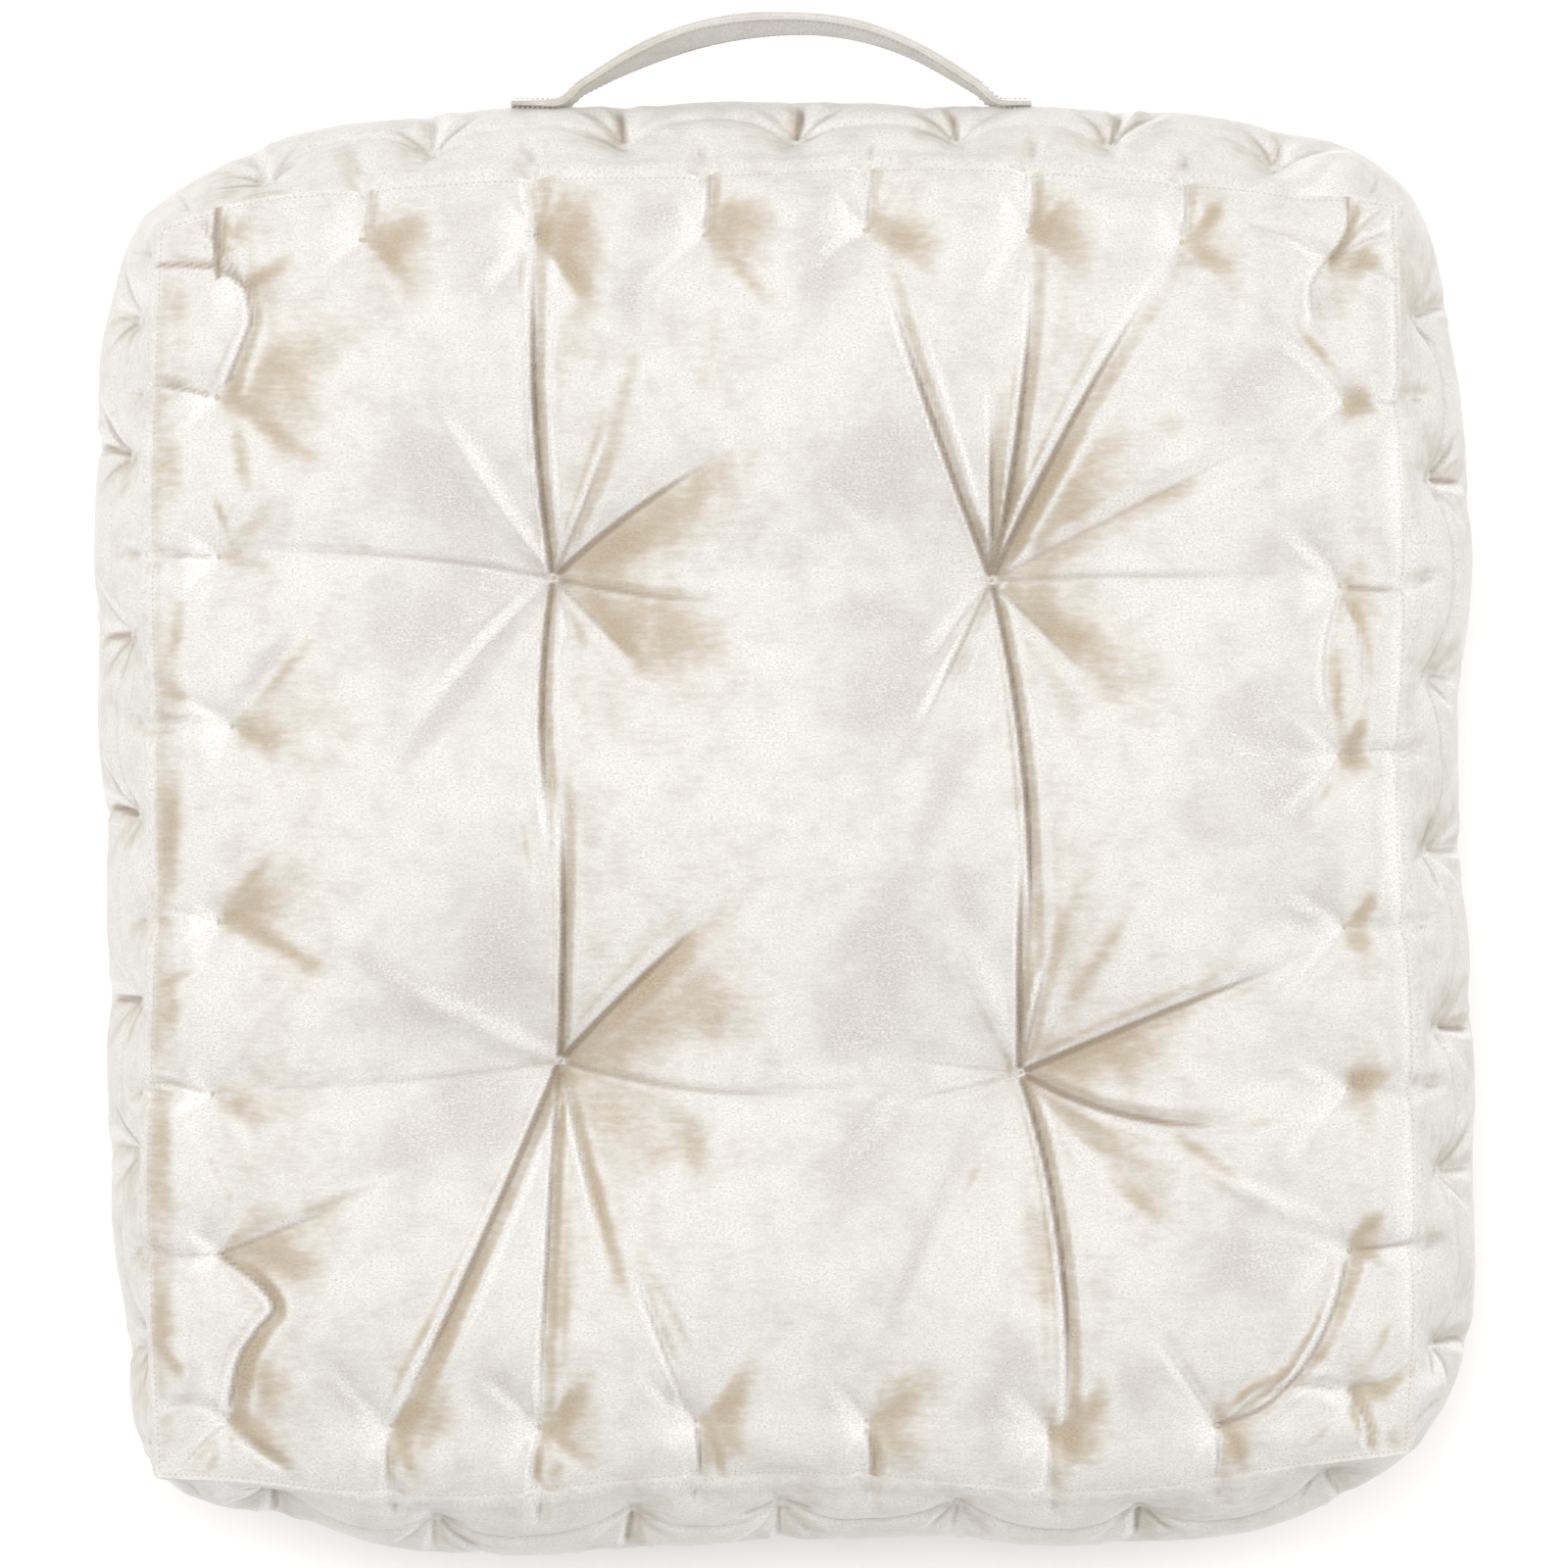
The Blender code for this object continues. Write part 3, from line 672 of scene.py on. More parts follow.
def press_band(side, across, up):
    """The folds of one side of the band, with up running from 0 at its upper seam."""
    relief = Relief(across, up)
    seams = ((0, -90), (-BAND_HEIGHT, 90))
    rng = np.random.default_rng(BAND_SEED + len(side))
    places = in_metres(*SIDE_TACKS[side])
    for level, down, jitter in ((-TACK_ROW, -1, 0), (TACK_ROW - BAND_HEIGHT, 1, TACK_JITTER)):
        row = [place + rng.uniform(-jitter, jitter) for place in places]
        relief.tacks += [(place, level) for place in row]
        for place in row:
            for dent in SIDE_DENTS:
                relief.dent((place, level), *dent)
            relief.rays((place, level), 90 * down, SIDE_RAYS, rng)
        for start, stop in zip(row, row[1:]):
            sag = down * rng.uniform(*SCALLOP_SAGS)
            relief.scallop(start, stop, level, sag, rng.uniform(*SCALLOP_DEPTHS), SCALLOP_WIDTH)
    for corner, turn in ((across.min(), 1), (across.max(), -1)):
        for level, heading in seams:
            for offset, far, depth in CORNER_PLEATS:
                start = (corner + turn * offset * rng.uniform(*PLEAT_PLACES), level)
                lean = heading + rng.uniform(-PLEAT_LEAN, PLEAT_LEAN)
                far = far * rng.uniform(*PLEAT_LENGTHS)
                sizes = (PLEAT_START, far, PLEAT_BOW * far, PLEAT_WIDTH, depth, PLEAT_LIP)
                relief.fold(start, lean, *sizes)
    for tack in RIM_TACKS[side]:
        for level, heading in seams:
            far = rng.uniform(*RIM_PLEAT_LENGTHS)
            start = (along(side, *tack) * MM, level)
            lean = heading + rng.uniform(-RIM_PLEAT_LEAN, RIM_PLEAT_LEAN)
            relief.fold(start, lean, PLEAT_START, far, *RIM_PLEAT)
    return relief


def band_normals(points):
    """Outward, for a grid whose first and last columns meet."""
    walk = np.diff(points, axis=1)
    ahead = np.concatenate([walk, walk[:, :1]], axis=1)
    behind = np.concatenate([walk[:, -1:], walk], axis=1)
    normal = np.cross(ahead + behind, np.gradient(points, axis=0))
    return normal / np.linalg.norm(normal, axis=-1, keepdims=True)


def underside_form(us, vs):
    """The underside's points. It rests flat, and climbs to its seam and into its tufts."""
    points = panel_plan(us, vs)
    edge = edge_distance(us, vs)
    z = BASE_SEAM_Z * (1 - np.clip(edge / UNDER_SHOULDER, 0, 1)) ** 2
    for tuft in TUFTS.values():
        tuft_x, tuft_y = in_metres(*tuft)
        distance = np.hypot(points[..., 0] - tuft_x, points[..., 1] - tuft_y)
        z += np.maximum(0, UNDER_TUFT_DEPTH * pucker(distance, UNDER_TUFT_REACH) - FLOOR_REST)
    points[..., 2] = z
    return points


# ------------------------------------------------------------------------------------------
# Filling. The three forms are sewn into one closed cloth, held at its tufts and tacks, and
# blown up. How far each point of it moves is added to the fine panels.

FILL_COLUMNS, FILL_ROWS, FILL_LEVELS = 94, 98, 20
FILL_FRAMES = 20
FILL_PRESSURE = 4.0
FILL_SLACK = 0.010
FILL_LIMIT = 0.012
VELVET_MASS, VELVET_STIFFNESS, VELVET_BENDING = 0.3, 15, 0.3
HELD_REACH = 0.005
SIDE_FACE = 0.245  # a side's own cloth lies farther out than this


def near_any(points, places):
    """Which points lie near one of the places."""
    near = np.zeros(points.shape[:-1], bool)
    for place in places:
        near |= np.linalg.norm(points - place, axis=-1) < HELD_REACH
    return near


def held_on_top(points):
    """Which points of the top the thread holds, with its four corners."""
    tacks = [*TUFTS.values(), *CORNER_TACKS, *(t for side in SIDES for t in RIM_TACKS[side])]
    held = near_any(points[..., :2], [in_metres(*tack) for tack in tacks])
    held[0, 0] = held[0, -1] = held[-1, 0] = held[-1, -1] = True
    return held


def held_on_band(points):
    """Which points of the band the thread and the lower seam hold."""
    held = np.zeros(points.shape[:-1], bool)
    held[0] = True
    for side in SIDES:
        axis = 0 if side in ALONG_X else 1
        out = np.array(outward(side))
        beyond = points[..., :2] @ out > SIDE_FACE
        for z in (TOP_SEAM_Z - TACK_ROW, BASE_SEAM_Z + TACK_ROW):
            flat = np.stack([points[..., axis], points[..., 2]], -1)
            held |= beyond & near_any(flat, [(p * MM, z) for p in SIDE_TACKS[side]])
    return held


def fill_cover():
    """How far filling moves the points of a coarse top and band."""
    us, vs = np.linspace(0, 1, FILL_COLUMNS + 1), np.linspace(0, 1, FILL_ROWS + 1)
    levels = np.linspace(0, 1, FILL_LEVELS + 1)
    top, _ = top_form(us, vs)
    band, _, _ = band_form((us, vs, us, vs), levels)
    under = underside_form(us, vs)
    masks = (held_on_top(top), held_on_band(band), np.ones(under.shape[:-1], bool))
    mesh, held = sew_coarse((top, band, under), masks)
    before = read_points(mesh)
    cover = link("filling", mesh)
    cover.vertex_groups.new(name="held").add(held, 1.0, "REPLACE")
    moved = blow_up(cover) - before
    bpy.data.objects.remove(cover)
    size = np.linalg.norm(moved, axis=1, keepdims=True)
    moved *= FILL_LIMIT * np.tanh(size / FILL_LIMIT) / np.maximum(size, 1e-9)
    tree = kdtree.KDTree(len(before))
    for i, place in enumerate(before):
        tree.insert(place, i)
    tree.balance()
    found = [np.array([tree.find(p)[1] for p in grid.reshape(-1, 3)]) for grid in (top, band)]
    return moved[found[0]].reshape(top.shape), moved[found[1]].reshape(band.shape)


def sew_coarse(grids, masks):
    """Joins grids into one closed cover. Returns its mesh, and which of its points are held."""
    bm = bmesh.new()
    held = []
    for grid, mask in zip(grids, masks):
        first = len(bm.verts)
        row, column = add_grid(bm, grid.shape[1], grid.shape[0])
        bm.verts.ensure_lookup_table()
        for vert, place in zip(bm.verts[first:], grid[row, column]):
            vert.co = place
        held += list(mask[row, column])
    mark = bm.verts.layers.int.new("held")
    for vert, hold in zip(bm.verts, held):
        vert[mark] = int(hold)
    bmesh.ops.remove_doubles(bm, verts=bm.verts, dist=1e-5)
    bmesh.ops.recalc_face_normals(bm, faces=bm.faces)
    held = [i for i, vert in enumerate(bm.verts) if vert[mark]]
    return mesh_of(bm, "filling"), held


def blow_up(cover):
    """Runs the cloth under pressure, and returns where its points end."""
    cloth = cover.modifiers.new("filling", "CLOTH")
    fabric = cloth.settings
    fabric.quality = 5
    fabric.mass = VELVET_MASS
    fabric.tension_stiffness = VELVET_STIFFNESS
    fabric.compression_stiffness = VELVET_STIFFNESS
    fabric.shear_stiffness = VELVET_STIFFNESS
    fabric.bending_stiffness = VELVET_BENDING
    fabric.shrink_min = -FILL_SLACK
    fabric.use_pressure = True
    fabric.uniform_pressure_force = FILL_PRESSURE
    fabric.effector_weights.gravity = 0
    fabric.vertex_group_mass = "held"
    cloth.collision_settings.use_collision = False
    cloth.point_cache.frame_end = FILL_FRAMES
    for moment in range(1, FILL_FRAMES + 1):
        bpy.context.scene.frame_set(moment)
    filled = cover.evaluated_get(bpy.context.evaluated_depsgraph_get())
    return read_points(filled.data)


def read_points(mesh):
    """The places of a mesh's points, one to a row."""
    flat = np.empty(len(mesh.vertices) * 3, np.float32)
    mesh.vertices.foreach_get("co", flat)
    return flat.reshape(-1, 3).astype(float)


def spline_weights(places, count):
    """A matrix that eases values at whole numbers, 0 to count - 1, to places between them."""
    weights = np.zeros((len(places), count + 2))
    i = np.clip(places.astype(int), 0, count - 2)
    t = places - i
    cubes = ((1 - t) ** 3, 3 * t**3 - 6 * t**2 + 4, -3 * t**3 + 3 * t**2 + 3 * t + 1, t**3)
    for offset, cube in enumerate(cubes):
        weights[np.arange(len(places)), i + offset] = cube / 6
    first, last = weights[:, :1], weights[:, -1:]
    inner = weights[:, 1:-1]
    inner[:, :2] += first * (2, -1)
    inner[:, -2:] += last * (-1, 2)
    return inner


def eased(moved, across, up):
    """Values of a coarse grid, at shares from 0 to 1 across and up it."""
    rows, columns = moved.shape[:2]
    left = spline_weights(up * (rows - 1), rows)
    right = spline_weights(across * (columns - 1), columns)
    return np.einsum("ij,jkc,lk->ilc", left, moved, right, optimize=True)


# ------------------------------------------------------------------------------------------
# Meshes.


def mesh_of(bm, name):
    """A mesh of what bmesh holds, and the end of bmesh."""
    mesh = bpy.data.meshes.new(name)
    bm.to_mesh(mesh)
    bm.free()
    return mesh


def add_grid(bm, columns, rows):
    """Adds a flat grid of so many corners, and returns each corner's row and column."""
    first = len(bm.verts)
    bmesh.ops.create_grid(bm, x_segments=columns - 1, y_segments=rows - 1, size=1.0)
    bm.verts.ensure_lookup_table()
    flat = np.array([vert.co for vert in bm.verts[first:]])
    column = np.rint((flat[:, 0] + 1) / 2 * (columns - 1)).astype(int)
    row = np.rint((flat[:, 1] + 1) / 2 * (rows - 1)).astype(int)
    return row, column


SHARP_TURN = math.radians(62)


def make_cloth(name, points, cloth_map, material, **fields):
    """An object from a grid of points, with its map and its fields. Columns that meet are
    joined."""
    bm = bmesh.new()
    row, column = add_grid(bm, points.shape[1], points.shape[0])
    mesh = mesh_of(bm, name)
    mesh.vertices.foreach_set("co", points[row, column].astype(np.float32).ravel())
    corner = np.empty(len(mesh.loops), int)
    mesh.loops.foreach_get("vertex_index", corner)
    layer = mesh.uv_layers.new(name="cloth")
    layer.data.foreach_set("uv", cloth_map[row, column][corner].astype(np.float32).ravel())
    for field, values in fields.items():
        attribute = mesh.attributes.new(field, "FLOAT", "POINT")
        attribute.data.foreach_set("value", values[row, column].astype(np.float32))
    join = bmesh.new()
    join.from_mesh(mesh)
    bmesh.ops.remove_doubles(join, verts=join.verts, dist=1e-6)
    join.to_mesh(mesh)
    join.free()
    mesh.shade_smooth()
    mesh.set_sharp_from_angle(angle=SHARP_TURN)
    mesh.materials.append(material)
    return link(name, mesh)


def link(name, mesh):
    """An object of that name, in the scene."""
    made = bpy.data.objects.new(name, mesh)
    bpy.context.scene.collection.objects.link(made)
    return made


def stand_for(piece, node):
    """The piece rides on the pillow's one body and is shown in place of a CAD node."""
    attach(piece, "root")
    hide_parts(node)


ALL_ROUND, ABOVE_AND_BELOW = ((1, 1), (1, 1)), ((1, 1), (0, 0))


def doubled(grid, where):
    """A grid whose outermost rows and columns are there twice, for a panel's cut edges."""
    return np.pad(grid, (*where, (0, 0))[:grid.ndim], "edge")


def rise_across(points, heights):
    """How steeply heights over a grid climb from each column to the next."""
    run = np.linalg.norm(np.gradient(points[..., :2], axis=1), axis=-1)
    return np.gradient(heights, axis=1) / np.maximum(run, 1e-5)


# ------------------------------------------------------------------------------------------
# The cover.

LIP_TURN = 0.003  # each panel's cut edge turns this far into the seam
# the most that a slope counts towards painted shade and painted highlight
LEAN_LIMIT = 0.45
UNSEEN_SLOPE = 0.75  # share of the crown's and tufts' broad slopes that gets no painted shade and no painted highlight
BAND_LEVELS = 78
BAND_CLOTH = 0.12  # the band's height on its map
BAND_LIP_IN = 0.001
EASED_COLUMNS = 20  # to each side, when a side's own facing is worked out
SEAM_GROOVE, SEAM_GROOVE_REACH = 0.0008, 0.0022
SEAM_GROOVE_FADE = (-0.0001, 0.0012)
SEAM_SHADE, SEAM_SHADE_REACH = 0.3, 0.0012  # how much painted crease shade the seam itself gets
CLOTH_LUMPS = ((0.0010, 0.045), (0.0004, 0.016))  # height and size
LUMPS_FADE = 0.015  # distance from a seam over which they fade
TOP_LUMPS, BAND_LUMPS = 1, 3  # the seeds of their noise
CORNER_FADE = 0.07  # share of a side's length over which its painted shade and highlight fade to each corner
UNDER_LIP = 0.992  # how much smaller the underside's cut edge is than its seam


def rough_cloth(points, edge, seed):
    """Small unevenness, none of it at the seams."""
    rough = sum(h * lumps(points, size, seed + i) for i, (h, size) in enumerate(CLOTH_LUMPS))
    return rough * ramp(edge, 0, LUMPS_FADE)


def sew_top_panel(settings, moved, us, vs):
    """The top panel, with its cut edges turned down into the seams."""
    points, relief = top_form(us, vs)
    edge = edge_distance(us, vs)
    points += eased(moved, us, vs)
    points[..., 2] += rough_cloth(points * (1, 1, 0), edge, TOP_LUMPS)
    groove = SEAM_GROOVE * pucker(edge, SEAM_GROOVE_REACH) * ramp(edge, *SEAM_GROOVE_FADE)
    points[..., 2] -= groove
    # Painted shade and highlight: lean is how steeply the cloth climbs towards +X. Climbing cloth
    # faces away from the light and is painted tan; falling cloth is painted cool and light.
    broad = UNSEEN_SLOPE * (CROWN * crown_climb(edge) - relief.sunk)
    lean = LEAN_LIMIT * np.tanh(rise_across(points, points[..., 2] - broad) / LEAN_LIMIT)
    # Patches where the pile lies over, which also carry painted shade and painted light.
    pile = brushed_and_shaded(points[..., 0], points[..., 1])
    # Painted shade in the creases, and a thin line of it along the seam.
    crease = np.maximum(relief.crease, SEAM_SHADE * bump(edge, SEAM_SHADE_REACH))
    lipped = doubled(points, ALL_ROUND)
    lipped[[0, -1]] -= (0, 0, LIP_TURN)
    lipped[1:-1, [0, -1]] -= (0, 0, LIP_TURN)
    for end, inward in ((0, LIP_TURN), (-1, -LIP_TURN)):
        lipped[end, :, 1] += inward
        lipped[:, end, 0] += inward
    fields = {"lean": lean, "brushed_and_shaded": pile, "crease": crease, "seam": seam_marks(us, vs)}
    fields = {field: doubled(values, ALL_ROUND) for field, values in fields.items()}
    velvet = velvet_of(settings)
    panel = make_cloth("top_panel", lipped, lipped[..., :2], velvet, **fields)
    stand_for(panel, "pillow")


def seam_marks(us, vs):
    """Numbers the points just inside the seams in order of a walk round the panel, from 0 to 4.
    All others have -1."""
    marks = np.full((len(vs), len(us)), -1.0)
    marks[1, 1:-1] = us[1:-1]
    marks[1:-1, -2] = 1 + vs[1:-1]
    marks[-2, 1:-1] = 3 - us[1:-1]
    marks[1:-1, 1] = 4 - vs[1:-1]
    return marks


def sew_boxing_band(settings, moved, us, vs):
    """The band round all four sides, closed, with its cut edges turned into the seams."""
    levels = np.linspace(0, 1, BAND_LEVELS)
    points, crease, tacks = band_form((us, vs, us, vs), levels)
    corner = 0
    eased_sides = []
    for side, shares, count in zip(SIDES, (us, vs) * 2, (FILL_COLUMNS, FILL_ROWS) * 2):
        shares = 1 - shares[::-1] if side in WALKED_BACKWARDS else shares
        part = eased(moved[:, corner:corner + count + 1], shares, levels)
        eased_sides.append(part if side == SIDES[-1] else part[:, :-1])
        corner += count
    points += np.concatenate(eased_sides, axis=1)
    edge = np.minimum(levels, 1 - levels)[:, None] * BAND_HEIGHT + 0 * crease
    out = band_normals(points)
    points += out * rough_cloth(points, edge, BAND_LUMPS)[..., None]
    points[:, -1] = points[:, 0]
    points[..., 2] = np.maximum(points[..., 2], FLOOR_REST)
    walked = distances_along(points[BAND_LEVELS // 2])
    # Painted shade and highlight on the band, by which way its cloth turns from its side's facing.
    lean = band_shade_and_highlight(points) * corner_fade(us, vs)
    cloth_map = np.stack([walked + 0 * edge, levels[:, None] * BAND_CLOTH + 0 * edge], -1)
    lipped = doubled(points, ABOVE_AND_BELOW)
    lipped[0] += (0, 0, LIP_TURN)
    lipped[-1] -= (0, 0, LIP_TURN)
    inward = out[0] * (1, 1, 0)
    inward /= np.linalg.norm(inward, axis=-1, keepdims=True)
    lipped[[0, -1]] -= inward * BAND_LIP_IN
    fields = {"lean": lean, "crease": crease, "tack": tacks}
    fields = {field: doubled(values, ABOVE_AND_BELOW) for field, values in fields.items()}
    cloth_map = doubled(cloth_map, ABOVE_AND_BELOW)
    band = make_cloth("boxing_band", lipped, cloth_map, velvet_of(settings), **fields)
    stand_for(band, "pillow")


def corner_fade(us, vs):
    """0 at the band's corners and 1 from a little way along each side."""
    fades = [ramp(np.minimum(shares, 1 - shares), 0, CORNER_FADE) for shares in (us, vs) * 2]
    return np.concatenate([*(fade[:-1] for fade in fades), fades[0][:1]])


def band_shade_and_highlight(points):
    """How far the band's cloth turns from its side's own facing, along the walk, for painted shade
    and highlight.
    """
    walk = np.gradient(points, axis=1)
    walk /= np.maximum(np.linalg.norm(walk, axis=-1, keepdims=True), 1e-9)
    flat = points[points.shape[0] // 2]
    shifts = range(-EASED_COLUMNS, EASED_COLUMNS + 1)
    smooth = sum(np.roll(flat, shift, axis=0) for shift in shifts) / len(shifts)
    run = np.gradient(smooth, axis=0)
    run[..., 2] = 0
    facing = np.cross(run, (0, 0, 1))
    facing /= np.maximum(np.linalg.norm(facing, axis=-1, keepdims=True), 1e-9)
    return LEAN_LIMIT * np.tanh(np.sum(walk * facing[None], axis=-1) / LEAN_LIMIT)


def sew_underside(settings, us, vs):
    """The underside, facing down, with its cut edges turned up into the seams."""
    points = underside_form(us, vs)
    lipped = doubled(points, ALL_ROUND)
    ring = np.ones(lipped.shape[:-1], bool)
    ring[1:-1, 1:-1] = False
    lipped[ring] = lipped[ring] * (UNDER_LIP, UNDER_LIP, 1) + (0, 0, LIP_TURN)
    panel = make_cloth("underside_panel", lipped, lipped[..., :2], velvet_of(settings))
    panel.data.flip_normals()
    stand_for(panel, "pillow")


def sew_cover(settings):
    moved_top, moved_band = fill_cover()
    us = lines_of_cloth(settings.top_columns, TUFT_COLUMNS)
    vs = lines_of_cloth(settings.top_rows, TUFT_ROWS)
    sew_top_panel(settings, moved_top, us, vs)
    sew_boxing_band(settings, moved_band, us, vs)
    sew_underside(settings, us[::2], vs[::2])


# ------------------------------------------------------------------------------------------
# The carrying strap.

STRAP_STEPS, STRAP_ROUND = 220, 53
STRAP_ENDS = (0.002, 0.998)  # as shares of the room that its CAD solid has
STRAP_THICK = 0.0045
STRAP_GIRTH = 0.063
STRAP_ARCH = 2.35  # the larger, the squarer its arch
STRAP_BEND = 0.30  # the larger, the rounder it bends up from its tabs
STRAP_TABS = (0.018, 0.011)
STRAP_LEAN = 0.0036  # how far the lower edge hangs in towards the pillow
STRAP_TWIST = 0.005  # and how much more it hangs in near its left end
STRAP_TWIST_PLACE, STRAP_TWIST_REACH = 0.25, 0.22
STRAP_LENGTH = 0.25
STRAP_ROUNDING = (0.35, 0.45)  # of its section, across and through. 1 is a plain oval
STRAP_LAYERS, LAYER_DEPTH = 6, 0.025
LAYERS_SHOW, CREASES_SHOW = (0.55, 0.9), (0.6, 0.9)  # from its middle, 0, to an edge, 1
LAYER_CREASE, LAYER_CREASE_FROM = 0.6, -0.005  # how much painted shade it gets, and from what depth on
STRAP_TAN, STRAP_TAN_RATE = 0.12, 9.0  # how far the strap is tinted towards tan, in slow waves
STRAP_TAN_FALL = 0.1  # and how much less at its right end than at its left
STITCH_ROW = 0.78  # where each row of stitches lies, from the middle, 0, to an edge, 1
STRAP_PRESSED = 0.0034  # how far the sewn tabs sink into the band
TAB_LIFTS = 0.15  # share of its rise by which the strap is free of the band
STITCHED_IN, STITCHED_REACH = 0.18, 0.05  # how much thinner it is along its stitches
TAB_THICK, TAB_FADE = 0.55, (0.02, 0.12)  # how thick the tabs are, and where that ends
STRAP_WAVE, STRAP_WAVE_RATE = 0.05, 31  # of its thickness along its length
STRAP_STEP = 0.001  # share of its length, ahead and behind, that its heading is taken over
STITCH_OUT = 0.0019  # from the strap's middle to the stitches of each face


def strap_path(share):
    """The strap's middle line in plan from its left end to its right, and how far it stands
    out there, from 0 to 1."""
    left, right = STRAP_LOW.x, STRAP_HIGH.x
    start, stop = left + STRAP_TABS[0], right - STRAP_TABS[1]
    seat, crest = STRAP_LOW.y + STRAP_THICK / 2, STRAP_HIGH.y - STRAP_THICK / 2
    x = left + (right - left) * share
    t = np.clip((x - start) / (stop - start), 0, 1)
    arch = 1 - np.abs(2 * t - 1) ** STRAP_ARCH
    rise = np.hypot(arch, STRAP_BEND) - STRAP_BEND
    rise = rise / (math.hypot(1, STRAP_BEND) - STRAP_BEND)
    pressed = STRAP_PRESSED * (1 - ramp(rise, 0, TAB_LIFTS))
    return x, seat + (crest - seat) * rise - pressed, rise


def strap_point(share, high, thick):
    """A point of the strap. high runs from -1 to 1 across its width, thick out of its face."""
    x, y, rise = strap_path(share)
    after, before = strap_path(share + STRAP_STEP), strap_path(share - STRAP_STEP)
    run_x, run_y = after[0] - before[0], after[1] - before[1]
    size = np.hypot(run_x, run_y)
    out_x, out_y = -run_y / size, run_x / size
    half = (STRAP_HIGH.z - STRAP_LOW.z) / 2
    twist = STRAP_TWIST * bump(share - STRAP_TWIST_PLACE, STRAP_TWIST_REACH)
    hang = (STRAP_LEAN + twist) * rise * (high - 1) / 2
    z = (STRAP_HIGH.z + STRAP_LOW.z) / 2 + half * high
    return np.stack([x + out_x * thick, y + out_y * thick + hang, z + 0 * x], -1)


def sew_strap(settings):
    """The strap: a flattened tube of folded cloth, whose edges show its layers."""
    share = np.linspace(*STRAP_ENDS, STRAP_STEPS)[None, :]
    turn = np.linspace(0, math.tau, STRAP_ROUND)[:, None]
    cos, sin = np.cos(turn), np.sin(turn)
    high = np.sign(cos) * np.abs(cos) ** STRAP_ROUNDING[0]
    thick = STRAP_THICK / 2 * np.sign(sin) * np.abs(sin) ** STRAP_ROUNDING[1]
    layers = LAYER_DEPTH * np.cos(thick / STRAP_THICK * STRAP_LAYERS * np.pi)
    layers = layers * ramp(np.abs(cos), *LAYERS_SHOW)
    high = high * (1 - LAYER_DEPTH + layers) + 0 * share
    stitched = 1 - STITCHED_IN * bump(np.abs(high) - STITCH_ROW, STITCHED_REACH)
    wave = 1 + STRAP_WAVE * np.sin(share * STRAP_WAVE_RATE)
    inner = ramp(np.minimum(share, 1 - share), *TAB_FADE)
    thick = thick * stitched * wave * (TAB_THICK + (1 - TAB_THICK) * inner)
    share = share + 0 * thick
    points = strap_point(share, high, thick)
    points[-1] = points[0]
    girth = turn / math.tau * STRAP_GIRTH + 0 * share
    cloth_map = np.stack([share * STRAP_LENGTH, girth], -1)
    # The strap is tinted towards tan in slow waves, and more at its left end.
    lean = STRAP_TAN + STRAP_TAN * np.sin(share * STRAP_TAN_RATE)
    lean = lean + STRAP_TAN_FALL * (0.5 - share)
    # Painted shade in the grooves between the strap's layers, near its edges.
    crease = LAYER_CREASE * (1 - ramp(layers + 0 * share, -LAYER_DEPTH, LAYER_CREASE_FROM))
    crease = crease * ramp(np.abs(cos), *CREASES_SHOW)
    velvet = velvet_of(settings)
    strap = make_cloth("carrying_strap", points, cloth_map, velvet, lean=lean, crease=crease)
    close_ends(strap.data)
    stand_for(strap, "handle_strap")


def close_ends(mesh):
    """Fills a tube's open ends and turns all its faces out."""
    bm = bmesh.new()
    bm.from_mesh(mesh)
    open_edges = [edge for edge in bm.edges if edge.is_boundary]
    bmesh.ops.holes_fill(bm, edges=open_edges, sides=0)
    bmesh.ops.recalc_face_normals(bm, faces=bm.faces)
    bm.to_mesh(mesh)
    bm.free()


# ------------------------------------------------------------------------------------------
# Thread.

SEAM_PITCH = 0.0024
SEAM_STITCH, STRAP_STITCH = (0.55, 0.65), (0.62, 0.8)  # length in pitches, and thickness in threads
THREAD = 0.0004  # half its thickness
THREAD_FIBRES = 900.0  # turns of its unevenness to the metre
BAR_PITCH = 1.3  # between the threads of a bar, in threads
BAR_OUT = 0.0003  # how far the bar of a rim tack stands off the cloth
TUFT_BAR = 0.5  # how long a tuft's bar is, in bars
BAR_LENGTH = 0.0052
UP, DOWN = (0, 0, 1), (0, 0, -1)
TUFT_RUN = (1, 0.3, 0)  # which way the bars of the tufts run
LOOK_FROM = 0.2  # the height from which the top is looked for


